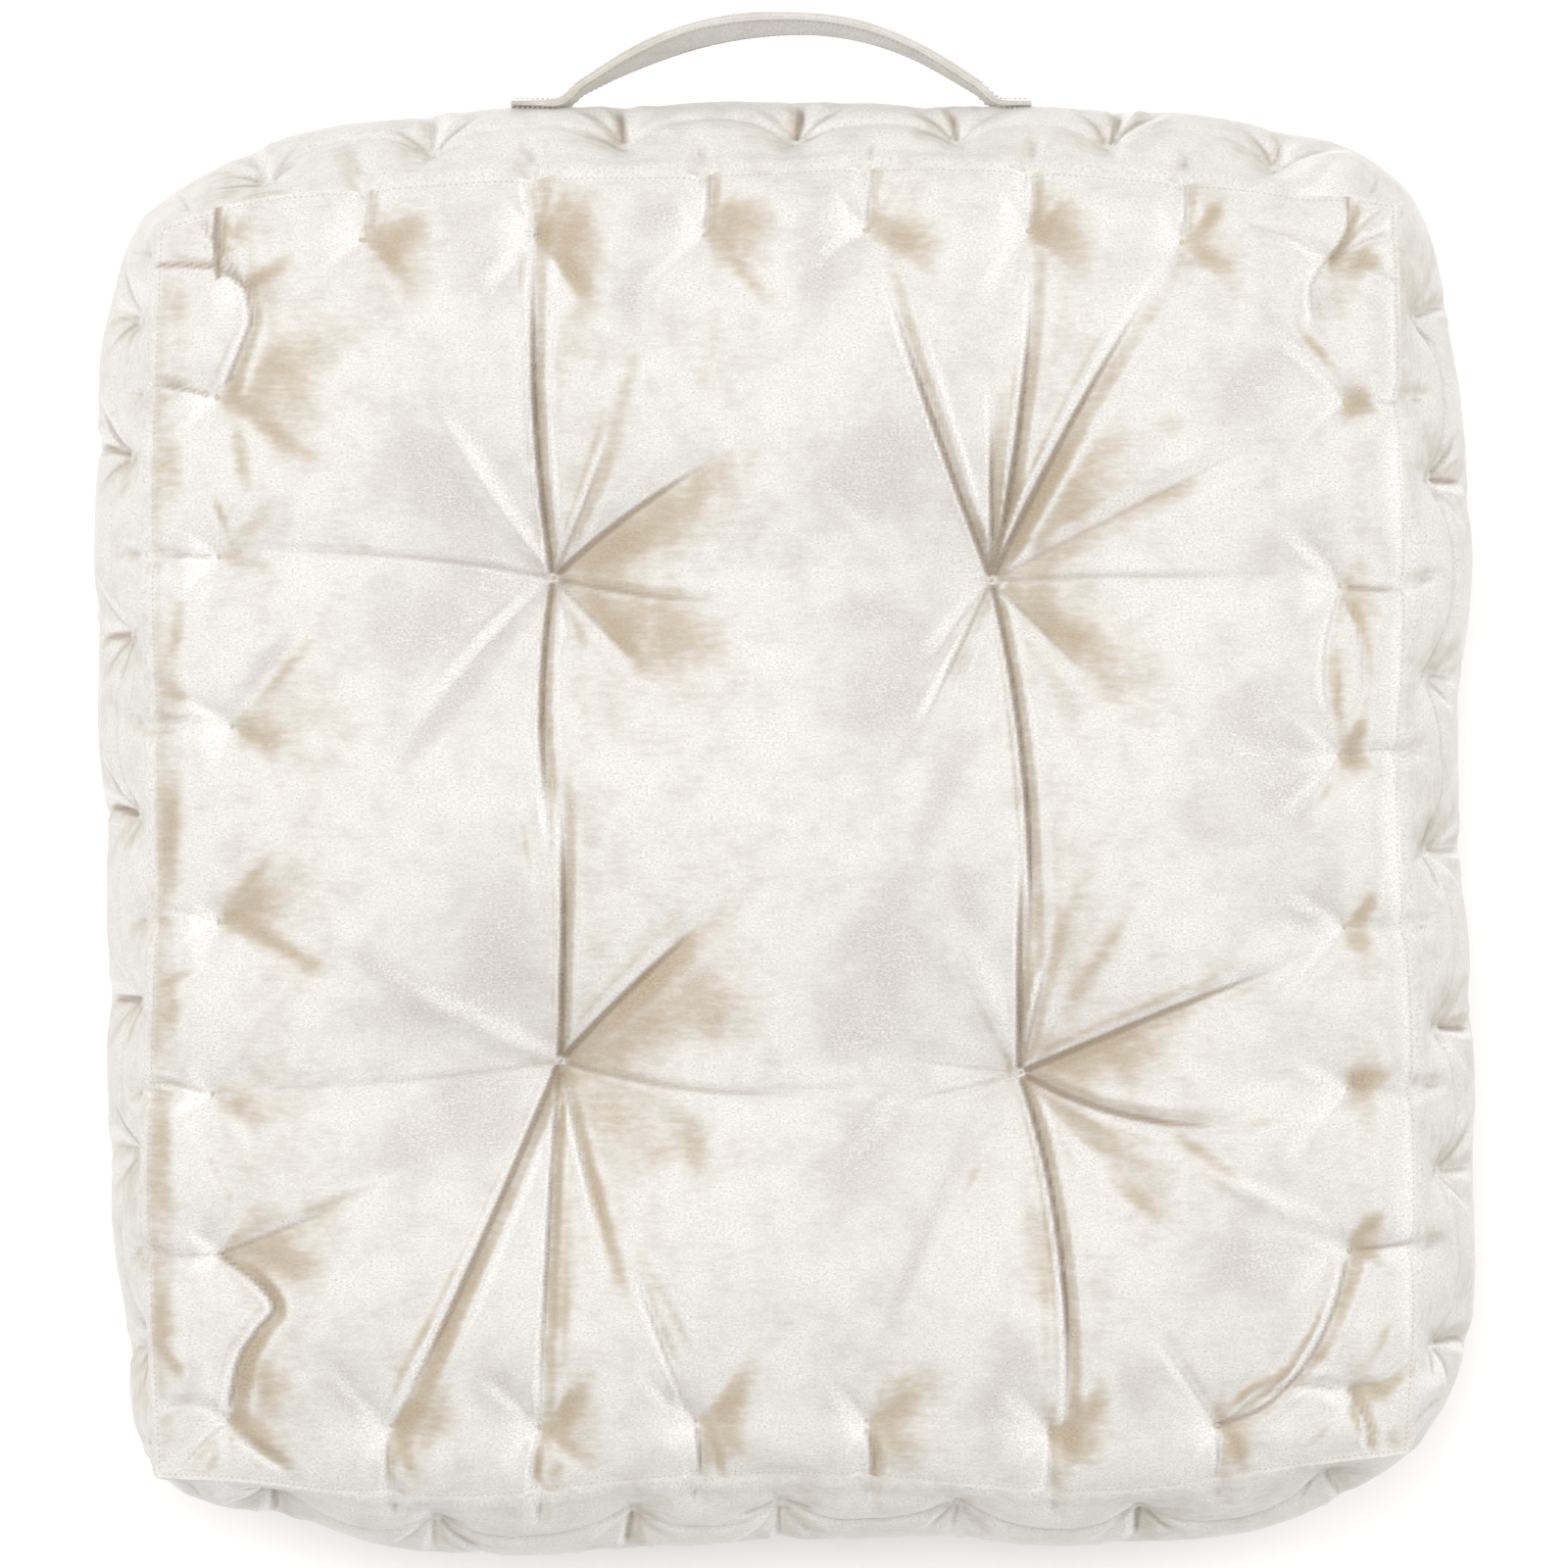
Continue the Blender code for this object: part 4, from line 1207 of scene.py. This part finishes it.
class Sewing:
    """Stitches, gathered into one piece."""

    def __init__(self):
        self.places = []

    def stitch(self, middle, run, up, length, thick):
        """One stitch, lying along run with its rounded back up."""
        run = Vector(run).normalized()
        side = Vector(up).cross(run).normalized()
        axes = Matrix((run, side, run.cross(side))).transposed().to_4x4()
        size = Matrix.Diagonal((length / 2, thick, thick, 1))
        self.places.append(Matrix.Translation(middle) @ axes @ size)

    def seam_stitch(self, middle, run, up, size):
        """One stitch of a seam, of a size in pitches and threads."""
        self.stitch(middle, run, up, SEAM_PITCH * size[0], THREAD * size[1])

    def bar(self, middle, run, up, length):
        """A bar tack, of three threads side by side."""
        side = Vector(up).cross(Vector(run)).normalized()
        for offset in (-1, 0, 1):
            self.stitch(middle + side * offset * BAR_PITCH * THREAD, run, up, length, THREAD)

    def finish(self, name, material, node, slot):
        bm = bmesh.new()
        bmesh.ops.create_uvsphere(bm, u_segments=6, v_segments=6, radius=1)
        one = bpy.data.meshes.new(name)
        bm.to_mesh(one)
        bm.clear()
        for _ in self.places:
            bm.from_mesh(one)
        mesh = mesh_of(bm, name)
        shape = np.insert(read_points(one), 3, 1, axis=1)
        points = np.concatenate([shape @ np.array(place).T for place in self.places])
        mesh.vertices.foreach_set("co", points[:, :3].astype(np.float32).ravel())
        bpy.data.meshes.remove(one)
        mesh.shade_smooth()
        mesh.materials.append(material)
        stand_for(link(name, mesh), node)


def top_place(panel, spot):
    """The point of the panel straight below a spot of the plan."""
    hit, place, _, _ = panel.ray_cast((*in_metres(*spot), LOOK_FROM), DOWN)
    if not hit:
        raise ValueError(f"{panel.name} doesn't reach {spot}")
    return place


def thread_of(settings):
    """The one thread that all seams and tacks share."""
    found = bpy.data.materials.get("linen_thread")
    if found:
        return found
    made = Finish("linen_thread")
    place = made.node("ShaderNodeTexCoord", out=3)
    shade = made.noise(place, THREAD_FIBRES)
    made.set(Base_Color=made.mix(shade, (*settings.thread, 1), (*settings.shade, 1)))
    made.set(Roughness=0.7, Sheen_Weight=0.2)
    return made.material


def marked_points(mesh, field):
    """The place and normal of each point whose field is above 0, in the field's order."""
    marks = np.empty(len(mesh.vertices), np.float32)
    mesh.attributes[field].data.foreach_get("value", marks)
    order = [i for i in np.argsort(marks, kind="stable") if marks[i] > 0]
    return [(mesh.vertices[i].co.copy(), mesh.vertices[i].normal.copy()) for i in order]


def sew_seams(settings):
    """The dotted row of stitches that shows in the top seam."""
    panel = bpy.data.objects["top_panel"]
    line = np.array([(*place, *normal) for place, normal in marked_points(panel.data, "seam")])
    walked = distances_along(line[:, :3])
    places = np.arange(0, walked[-1], SEAM_PITCH)
    stitches = np.stack([np.interp(places, walked, column) for column in line.T], -1)
    sewing = Sewing()
    for stitch, ahead in zip(stitches, stitches[1:]):
        run = ahead[:3] - stitch[:3]
        sewing.seam_stitch(stitch[:3], run, stitch[3:], SEAM_STITCH)
    sewing.finish("seam_stitches", thread_of(settings), "pillow", "ivory_velvet")


def sew_tacks(settings):
    """The thread bars of the tufts, the rim tacks and the side tacks."""
    top, band = bpy.data.objects["top_panel"], bpy.data.objects["boxing_band"]
    sewing = Sewing()
    for side in SIDES:
        run = (1, 0, 0) if side in ALONG_X else (0, 1, 0)
        for tack in RIM_TACKS[side]:
            place = top_place(top, tack)
            sewing.bar(place + Vector((0, 0, BAR_OUT)), run, UP, BAR_LENGTH)
    for tack, heading in zip(CORNER_TACKS, CORNER_HEADINGS):
        place = top_place(top, tack)
        angle = math.radians(heading + 90)
        sewing.bar(place, (math.cos(angle), math.sin(angle), 0), UP, BAR_LENGTH)
    for tuft in TUFTS.values():
        sewing.bar(top_place(top, tuft), TUFT_RUN, UP, TUFT_BAR * BAR_LENGTH)
    sewing.finish("tuft_threads", thread_of(settings), "pillow", "ivory_velvet")
    sewing = Sewing()
    for place, normal in marked_points(band.data, "tack"):
        sewing.bar(place, Vector(UP).cross(normal), normal, BAR_LENGTH)
    sewing.finish("side_threads", thread_of(settings), "pillow", "ivory_velvet")


def sew_strap_stitches(settings):
    """Two rows of stitches along each face of the strap."""
    sewing = Sewing()
    count = round(STRAP_LENGTH / SEAM_PITCH)
    shares = (np.arange(count) + 0.5) / count
    for high in (-STITCH_ROW, STITCH_ROW):
        for face in (-1, 1):
            line = strap_point(shares, np.full(count, high), np.full(count, face * STITCH_OUT))
            deep = strap_point(shares, np.full(count, high), np.zeros(count))
            for i in range(1, count - 1):
                run, up = line[i + 1] - line[i - 1], line[i] - deep[i]
                sewing.seam_stitch(line[i], run, up, STRAP_STITCH)
    sewing.finish("strap_stitches", thread_of(settings), "handle_strap", "strap_velvet")


# ------------------------------------------------------------------------------------------
# Finishes.


class Value:
    """A number in a material's nodes. Sums on it add their Math nodes."""

    def __init__(self, finish, socket):
        self.finish, self.socket = finish, socket

    def math(self, operation, first, second):
        values = {0: first, 1: second}
        return self.finish.node("ShaderNodeMath", {"operation": operation}, values)

    def __add__(self, other):
        return self.math("ADD", self, other)

    def __sub__(self, other):
        return self.math("SUBTRACT", self, other)

    def __rsub__(self, other):
        return self.math("SUBTRACT", other, self)

    def __mul__(self, other):
        return self.math("MULTIPLY", self, other)

    __radd__ = __add__
    __rmul__ = __mul__

    def ramp(self, low, high):
        """0 up to low, 1 from high on, and smooth between them."""
        values = {"Value": self, "From Min": low, "From Max": high}
        return self.finish.node("ShaderNodeMapRange", {"interpolation_type": "SMOOTHSTEP"}, values)


class Finish:
    """A material being made, node by node."""

    def __init__(self, name):
        self.material = bpy.data.materials.new(name)
        self.material.use_nodes = True
        self.tree = self.material.node_tree
        self.shader = self.tree.nodes["Principled BSDF"]

    def node(self, kind, settings=None, sockets=None, out=0):
        made = self.tree.nodes.new(kind)
        for key, value in (settings or {}).items():
            if key == "stops":
                self.lay_stops(made.color_ramp, value)
            else:
                setattr(made, key, value)
        for key, value in (sockets or {}).items():
            self.feed(made.inputs[key], value)
        return Value(self, made.outputs[out])

    def lay_stops(self, colour_ramp, stops):
        for number, (place, colour) in enumerate(stops):
            if number > 1:
                colour_ramp.elements.new(place)
            colour_ramp.elements[number].position = place
            colour_ramp.elements[number].color = (*colour, 1)

    def feed(self, socket, value):
        if isinstance(value, Value):
            self.tree.links.new(value.socket, socket)
        else:
            socket.default_value = value

    def mix(self, share, first, second, blend="MIX"):
        """A colour between two."""
        settings = {"data_type": "RGBA", "blend_type": blend}
        return self.node("ShaderNodeMix", settings, {0: share, 6: first, 7: second}, out=2)

    def noise(self, place, scale, detail=2.0, roughness=0.5):
        values = {"Vector": place, "Scale": scale, "Detail": detail, "Roughness": roughness}
        return self.node("ShaderNodeTexNoise", None, values)

    def stretched(self, place, scale):
        return self.node("ShaderNodeMapping", None, {"Vector": place, "Scale": scale})

    def field(self, name):
        return self.node("ShaderNodeAttribute", {"attribute_name": name}, out=2)

    def set(self, **sockets):
        for name, value in sockets.items():
            self.feed(self.shader.inputs[name.replace("_", " ")], value)


# Sizes of the velvet's unevenness, in turns to the metre, from the finest to the broadest. The
# first two are wider across the cloth than along it.
PILE, FLECKS = (800.0, 1150.0, 1.0), (120.0, 400.0, 1.0)
MOTTLE, PATCHES = 60.0, 16.0
BRUSHED_TURN = 1.3  # how much more a patch of pile and painted shade shows than the same lean of the cloth
# How far each unevenness leans the pile over, and how much grain the two finest show.
PATCHES_LEAN, MOTTLE_LEAN, FLECKS_LEAN, PILE_LEAN = 0.25, 0.70, 1.05, 0.95
PILE_GRAIN, FLECKS_GRAIN = 1.05, 0.30
WARM_GAIN, WARM_START = 0.9, 0.295  # turn a lean into a place between ivory and painted shade
# Where the painted cool light, the painted highlight and the painted shade of the creases come in,
# and how much a slope counts towards the painted cool light.
COOL_RANGE, STEEP_RANGE, CREASE_SHADE_RANGE = (-0.10, 0.34), (0.08, 0.45), (0.25, 0.95)
GENTLE_LEAN, STEEP_DRIFT, CREASE_SHADE_SHARE = 0.4, 0.12, 0.8
ROUGH, ROUGH_PATCHES, ROUGH_STEEP = 0.50, 0.15, 0.13
NAP_PILE, NAP_FLECKS, NAP_HEIGHT, NAP_STRENGTH = 0.7, 0.3, 0.0006, 0.35


def crushed_velvet(name, settings):
    """Velvet whose pile lies over in patches, with painted light and shade. Cloth that faces away
    from the light, and patches leaning to +X, are painted warm and dark, painted shade; cloth that
    faces it is painted cool, painted light, with a painted highlight where it slopes most."""
    made = Finish(name)
    place = made.node("ShaderNodeTexCoord", out=3)
    cloth = made.node("ShaderNodeUVMap", {"uv_map": "cloth"})
    pile = made.noise(made.stretched(cloth, PILE), 1.0, 2.0, 0.7)
    flecks = made.noise(made.stretched(cloth, FLECKS), 1.0, 4.0, 0.7)
    mottle = made.noise(place, MOTTLE, 3.0, 0.6)
    patches = made.noise(place, PATCHES, 2.0, 0.5)
    drift = (patches - 0.5) * PATCHES_LEAN + (mottle - 0.5) * MOTTLE_LEAN
    drift = drift + (flecks - 0.5) * FLECKS_LEAN + (pile - 0.5) * PILE_LEAN
    lean, brushed_and_shaded = made.field("lean"), made.field("brushed_and_shaded")
    stops = ((0.36, settings.ivory), (0.75, settings.tan), (1.0, settings.shade))
    # Painted shade: cloth that faces away from the light, and patches leaning to +X, go from ivory
    # to tan and shade; the noise adds random tone.
    warm = (lean + brushed_and_shaded * BRUSHED_TURN + drift) * WARM_GAIN + WARM_START
    colour = made.node("ShaderNodeValToRGB", {"stops": stops}, {"Fac": warm})
    # Painted light: cloth that faces the light, and patches leaning back, go cool, with random tone
    # from the noise.
    cool = (drift - brushed_and_shaded * BRUSHED_TURN - lean * GENTLE_LEAN).ramp(*COOL_RANGE)
    colour = made.mix(cool, colour, (*settings.cool, 1))
    # Painted highlight where the cloth faces the light steeply.
    painted_highlight_share = (drift * STEEP_DRIFT - lean).ramp(*STEEP_RANGE)
    colour = made.mix(painted_highlight_share, colour, (*settings.bright, 1))
    # Painted shade in the depths of the folds, along the seam and between the strap's layers.
    deep = made.field("crease").ramp(*CREASE_SHADE_RANGE)
    colour = made.mix(deep * CREASE_SHADE_SHARE, colour, (*settings.fold, 1))
    grain = (pile - 0.5) * PILE_GRAIN + (flecks - 0.5) * FLECKS_GRAIN + 1.0
    grey = made.node("ShaderNodeCombineColor", None, {0: grain, 1: grain, 2: grain})
    made.set(Base_Color=made.mix(1.0, colour, grey, "MULTIPLY"))
    made.set(Roughness=(patches - 0.5) * ROUGH_PATCHES - painted_highlight_share * ROUGH_STEEP + ROUGH)
    height = pile * NAP_PILE + flecks * NAP_FLECKS
    values = {"Height": height, "Strength": NAP_STRENGTH, "Distance": NAP_HEIGHT}
    made.set(Normal=made.node("ShaderNodeBump", None, values))
    made.set(Sheen_Weight=0.3, Sheen_Roughness=0.4, Specular_IOR_Level=0.25)
    return made.material


def velvet_of(settings):
    """The one velvet that all cut pieces share."""
    return bpy.data.materials.get("crushed_velvet") or crushed_velvet("crushed_velvet", settings)


# ------------------------------------------------------------------------------------------
# The stage.

FLOOR_REACH = 6.0
SOFT_WHITE, ROOM_WHITE = (1.0, 0.99, 0.98), (1.0, 0.995, 0.985, 1)
EYE_PLACE, EYE_LENS, EYE_SENSOR = (0.0, 0.0187, 3.0), 156.0, 36.0
LIT_PLACE = (0, 0, 0.08)  # what the softboxes face
RIGHT_SHARE = 1.3  # how much stronger the right softbox is than the left


def build_stage(settings):
    """The floor, the room's light, three softboxes and a camera that looks straight down."""
    scene = bpy.context.scene
    scene.view_settings.view_transform = "Standard"
    bm = bmesh.new()
    bmesh.ops.create_grid(bm, x_segments=2, y_segments=2, size=FLOOR_REACH)
    mesh = mesh_of(bm, "floor")
    paint = Finish("pale_floor")
    paint.set(Base_Color=(*[settings.floor_tone] * 3, 1), Roughness=0.9)
    paint.set(Emission_Color=(1, 1, 1, 1), Emission_Strength=settings.floor_glow)
    mesh.materials.append(paint.material)
    link("floor", mesh)

    world = bpy.data.worlds.new("studio")
    world.use_nodes = True
    scene.world = world
    background = world.node_tree.nodes["Background"]
    background.inputs["Color"].default_value = ROOM_WHITE
    background.inputs["Strength"].default_value = settings.room_light
    softbox("overhead_softbox", (-0.2, 0.45, 2.3), 1.6, settings.overhead_light)
    softbox("left_softbox", (-1.6, 0.4, 1.3), 1.2, settings.side_light)
    softbox("right_softbox", (1.8, 0.4, 1.5), 1.2, RIGHT_SHARE * settings.side_light)

    camera = bpy.data.cameras.new("camera")
    camera.lens = EYE_LENS
    camera.sensor_width = EYE_SENSOR
    eye = link("camera", camera)
    eye.location = EYE_PLACE
    scene.camera = eye


def softbox(name, place, size, power):
    """A square lamp that faces the pillow."""
    light = bpy.data.lights.new(name, "AREA")
    light.shape = "SQUARE"
    light.size = size
    light.energy = power
    light.color = SOFT_WHITE
    lamp = link(name, light)
    lamp.location = place
    down = Vector(LIT_PLACE) - lamp.location
    lamp.rotation_euler = down.to_track_quat("-Z", "Y").to_euler()


# ------------------------------------------------------------------------------------------
# The add-on.


def colour_property(name, description, default):
    return bpy.props.FloatVectorProperty(
        name=name, description=description, subtype="COLOR", default=default
    )


class PillowSettings(bpy.types.PropertyGroup):
    top_columns: bpy.props.IntProperty(
        name="Top Columns", description="Lines of mesh across the top panel", default=301, min=31
    )
    top_rows: bpy.props.IntProperty(
        name="Top Rows", description="Lines of mesh along the top panel", default=315, min=31
    )
    ivory: colour_property("Ivory", "Velvet that lies flat", (0.715, 0.70, 0.672))
    # This colour is a painted highlight, on cloth that faces the light steeply.
    bright: colour_property("Bright", "Velvet leaning steeply to the light", (0.83, 0.82, 0.80))
    # Painted light on cloth that faces the light gently, and the tone of patches where the pile
    # lies back.
    cool: colour_property("Cool", "Velvet leaning gently to the light", (0.585, 0.555, 0.53))
    # This and the next colour are painted shade on cloth that faces away from the light, and the
    # tone of patches where the pile lies over.
    tan: colour_property("Tan", "Velvet leaning away from the light", (0.515, 0.455, 0.37))
    shade: colour_property("Shade", "Velvet leaning steeply away", (0.45, 0.375, 0.28))
    # Painted shade in the depths of the folds, along the seam and between the strap's layers.
    fold: colour_property("Fold", "The depths of the folds", (0.28, 0.215, 0.15))
    thread: colour_property("Thread", "Sewing thread", (0.65, 0.60, 0.52))


class StageSettings(bpy.types.PropertyGroup):
    floor_tone: bpy.props.FloatProperty(
        name="Floor Tone", description="How pale the floor is", default=0.94, min=0, max=1
    )
    floor_glow: bpy.props.FloatProperty(
        name="Floor Glow", description="Light that the floor gives itself", default=0.12, min=0
    )
    room_light: bpy.props.FloatProperty(
        name="Room Light", description="Strength of the light all round", default=0.68, min=0
    )
    overhead_light: bpy.props.FloatProperty(
        name="Overhead", description="Power of the softbox overhead", default=23, min=0,
        unit="POWER"
    )
    side_light: bpy.props.FloatProperty(
        name="Sides", description="Power of the softbox on each side", default=8, min=0,
        unit="POWER"
    )


class PILLOW_OT_cover(bpy.types.Operator):
    """Sew the top panel, the boxing band and the underside, and fill them"""

    bl_idname = "pillow.cover"
    bl_label = "Cover"

    def execute(self, context):
        sew_cover(context.scene.pillow)
        return {"FINISHED"}


class PILLOW_OT_strap(bpy.types.Operator):
    """Sew the carrying strap"""

    bl_idname = "pillow.strap"
    bl_label = "Carrying Strap"

    def execute(self, context):
        sew_strap(context.scene.pillow)
        return {"FINISHED"}


class PILLOW_OT_stitches(bpy.types.Operator):
    """Sew the stitches of the seam and strap, and the thread bars of the tacks"""

    bl_idname = "pillow.stitches"
    bl_label = "Stitches"

    def execute(self, context):
        sew_seams(context.scene.pillow)
        sew_tacks(context.scene.pillow)
        sew_strap_stitches(context.scene.pillow)
        return {"FINISHED"}


class PILLOW_OT_stage(bpy.types.Operator):
    """Lay the floor and set the lights and the camera"""

    bl_idname = "pillow.stage"
    bl_label = "Stage"

    def execute(self, context):
        build_stage(context.scene.pillow_stage)
        return {"FINISHED"}


class PILLOW_PT_panel(bpy.types.Panel):
    """Sizes, colours and steps of the floor pillow"""

    bl_label = "Floor Pillow"
    bl_space_type = "VIEW_3D"
    bl_region_type = "UI"
    bl_category = "Floor Pillow"

    def draw(self, context):
        for group in (context.scene.pillow, context.scene.pillow_stage):
            for name in type(group).__annotations__:
                self.layout.prop(group, name)
        for step in STEPS:
            self.layout.operator(step.bl_idname)


STEPS = (PILLOW_OT_cover, PILLOW_OT_strap, PILLOW_OT_stitches, PILLOW_OT_stage)
CLASSES = (PillowSettings, StageSettings, *STEPS, PILLOW_PT_panel)


def register():
    for cls in CLASSES:
        bpy.utils.register_class(cls)
    bpy.types.Scene.pillow = bpy.props.PointerProperty(type=PillowSettings)
    bpy.types.Scene.pillow_stage = bpy.props.PointerProperty(type=StageSettings)


def unregister():
    del bpy.types.Scene.pillow_stage
    del bpy.types.Scene.pillow
    for cls in reversed(CLASSES):
        bpy.utils.unregister_class(cls)


def main():
    register()
    bpy.ops.pillow.cover()
    bpy.ops.pillow.strap()
    bpy.ops.pillow.stitches()
    bpy.ops.pillow.stage()


if __name__ == "__main__":
    main()
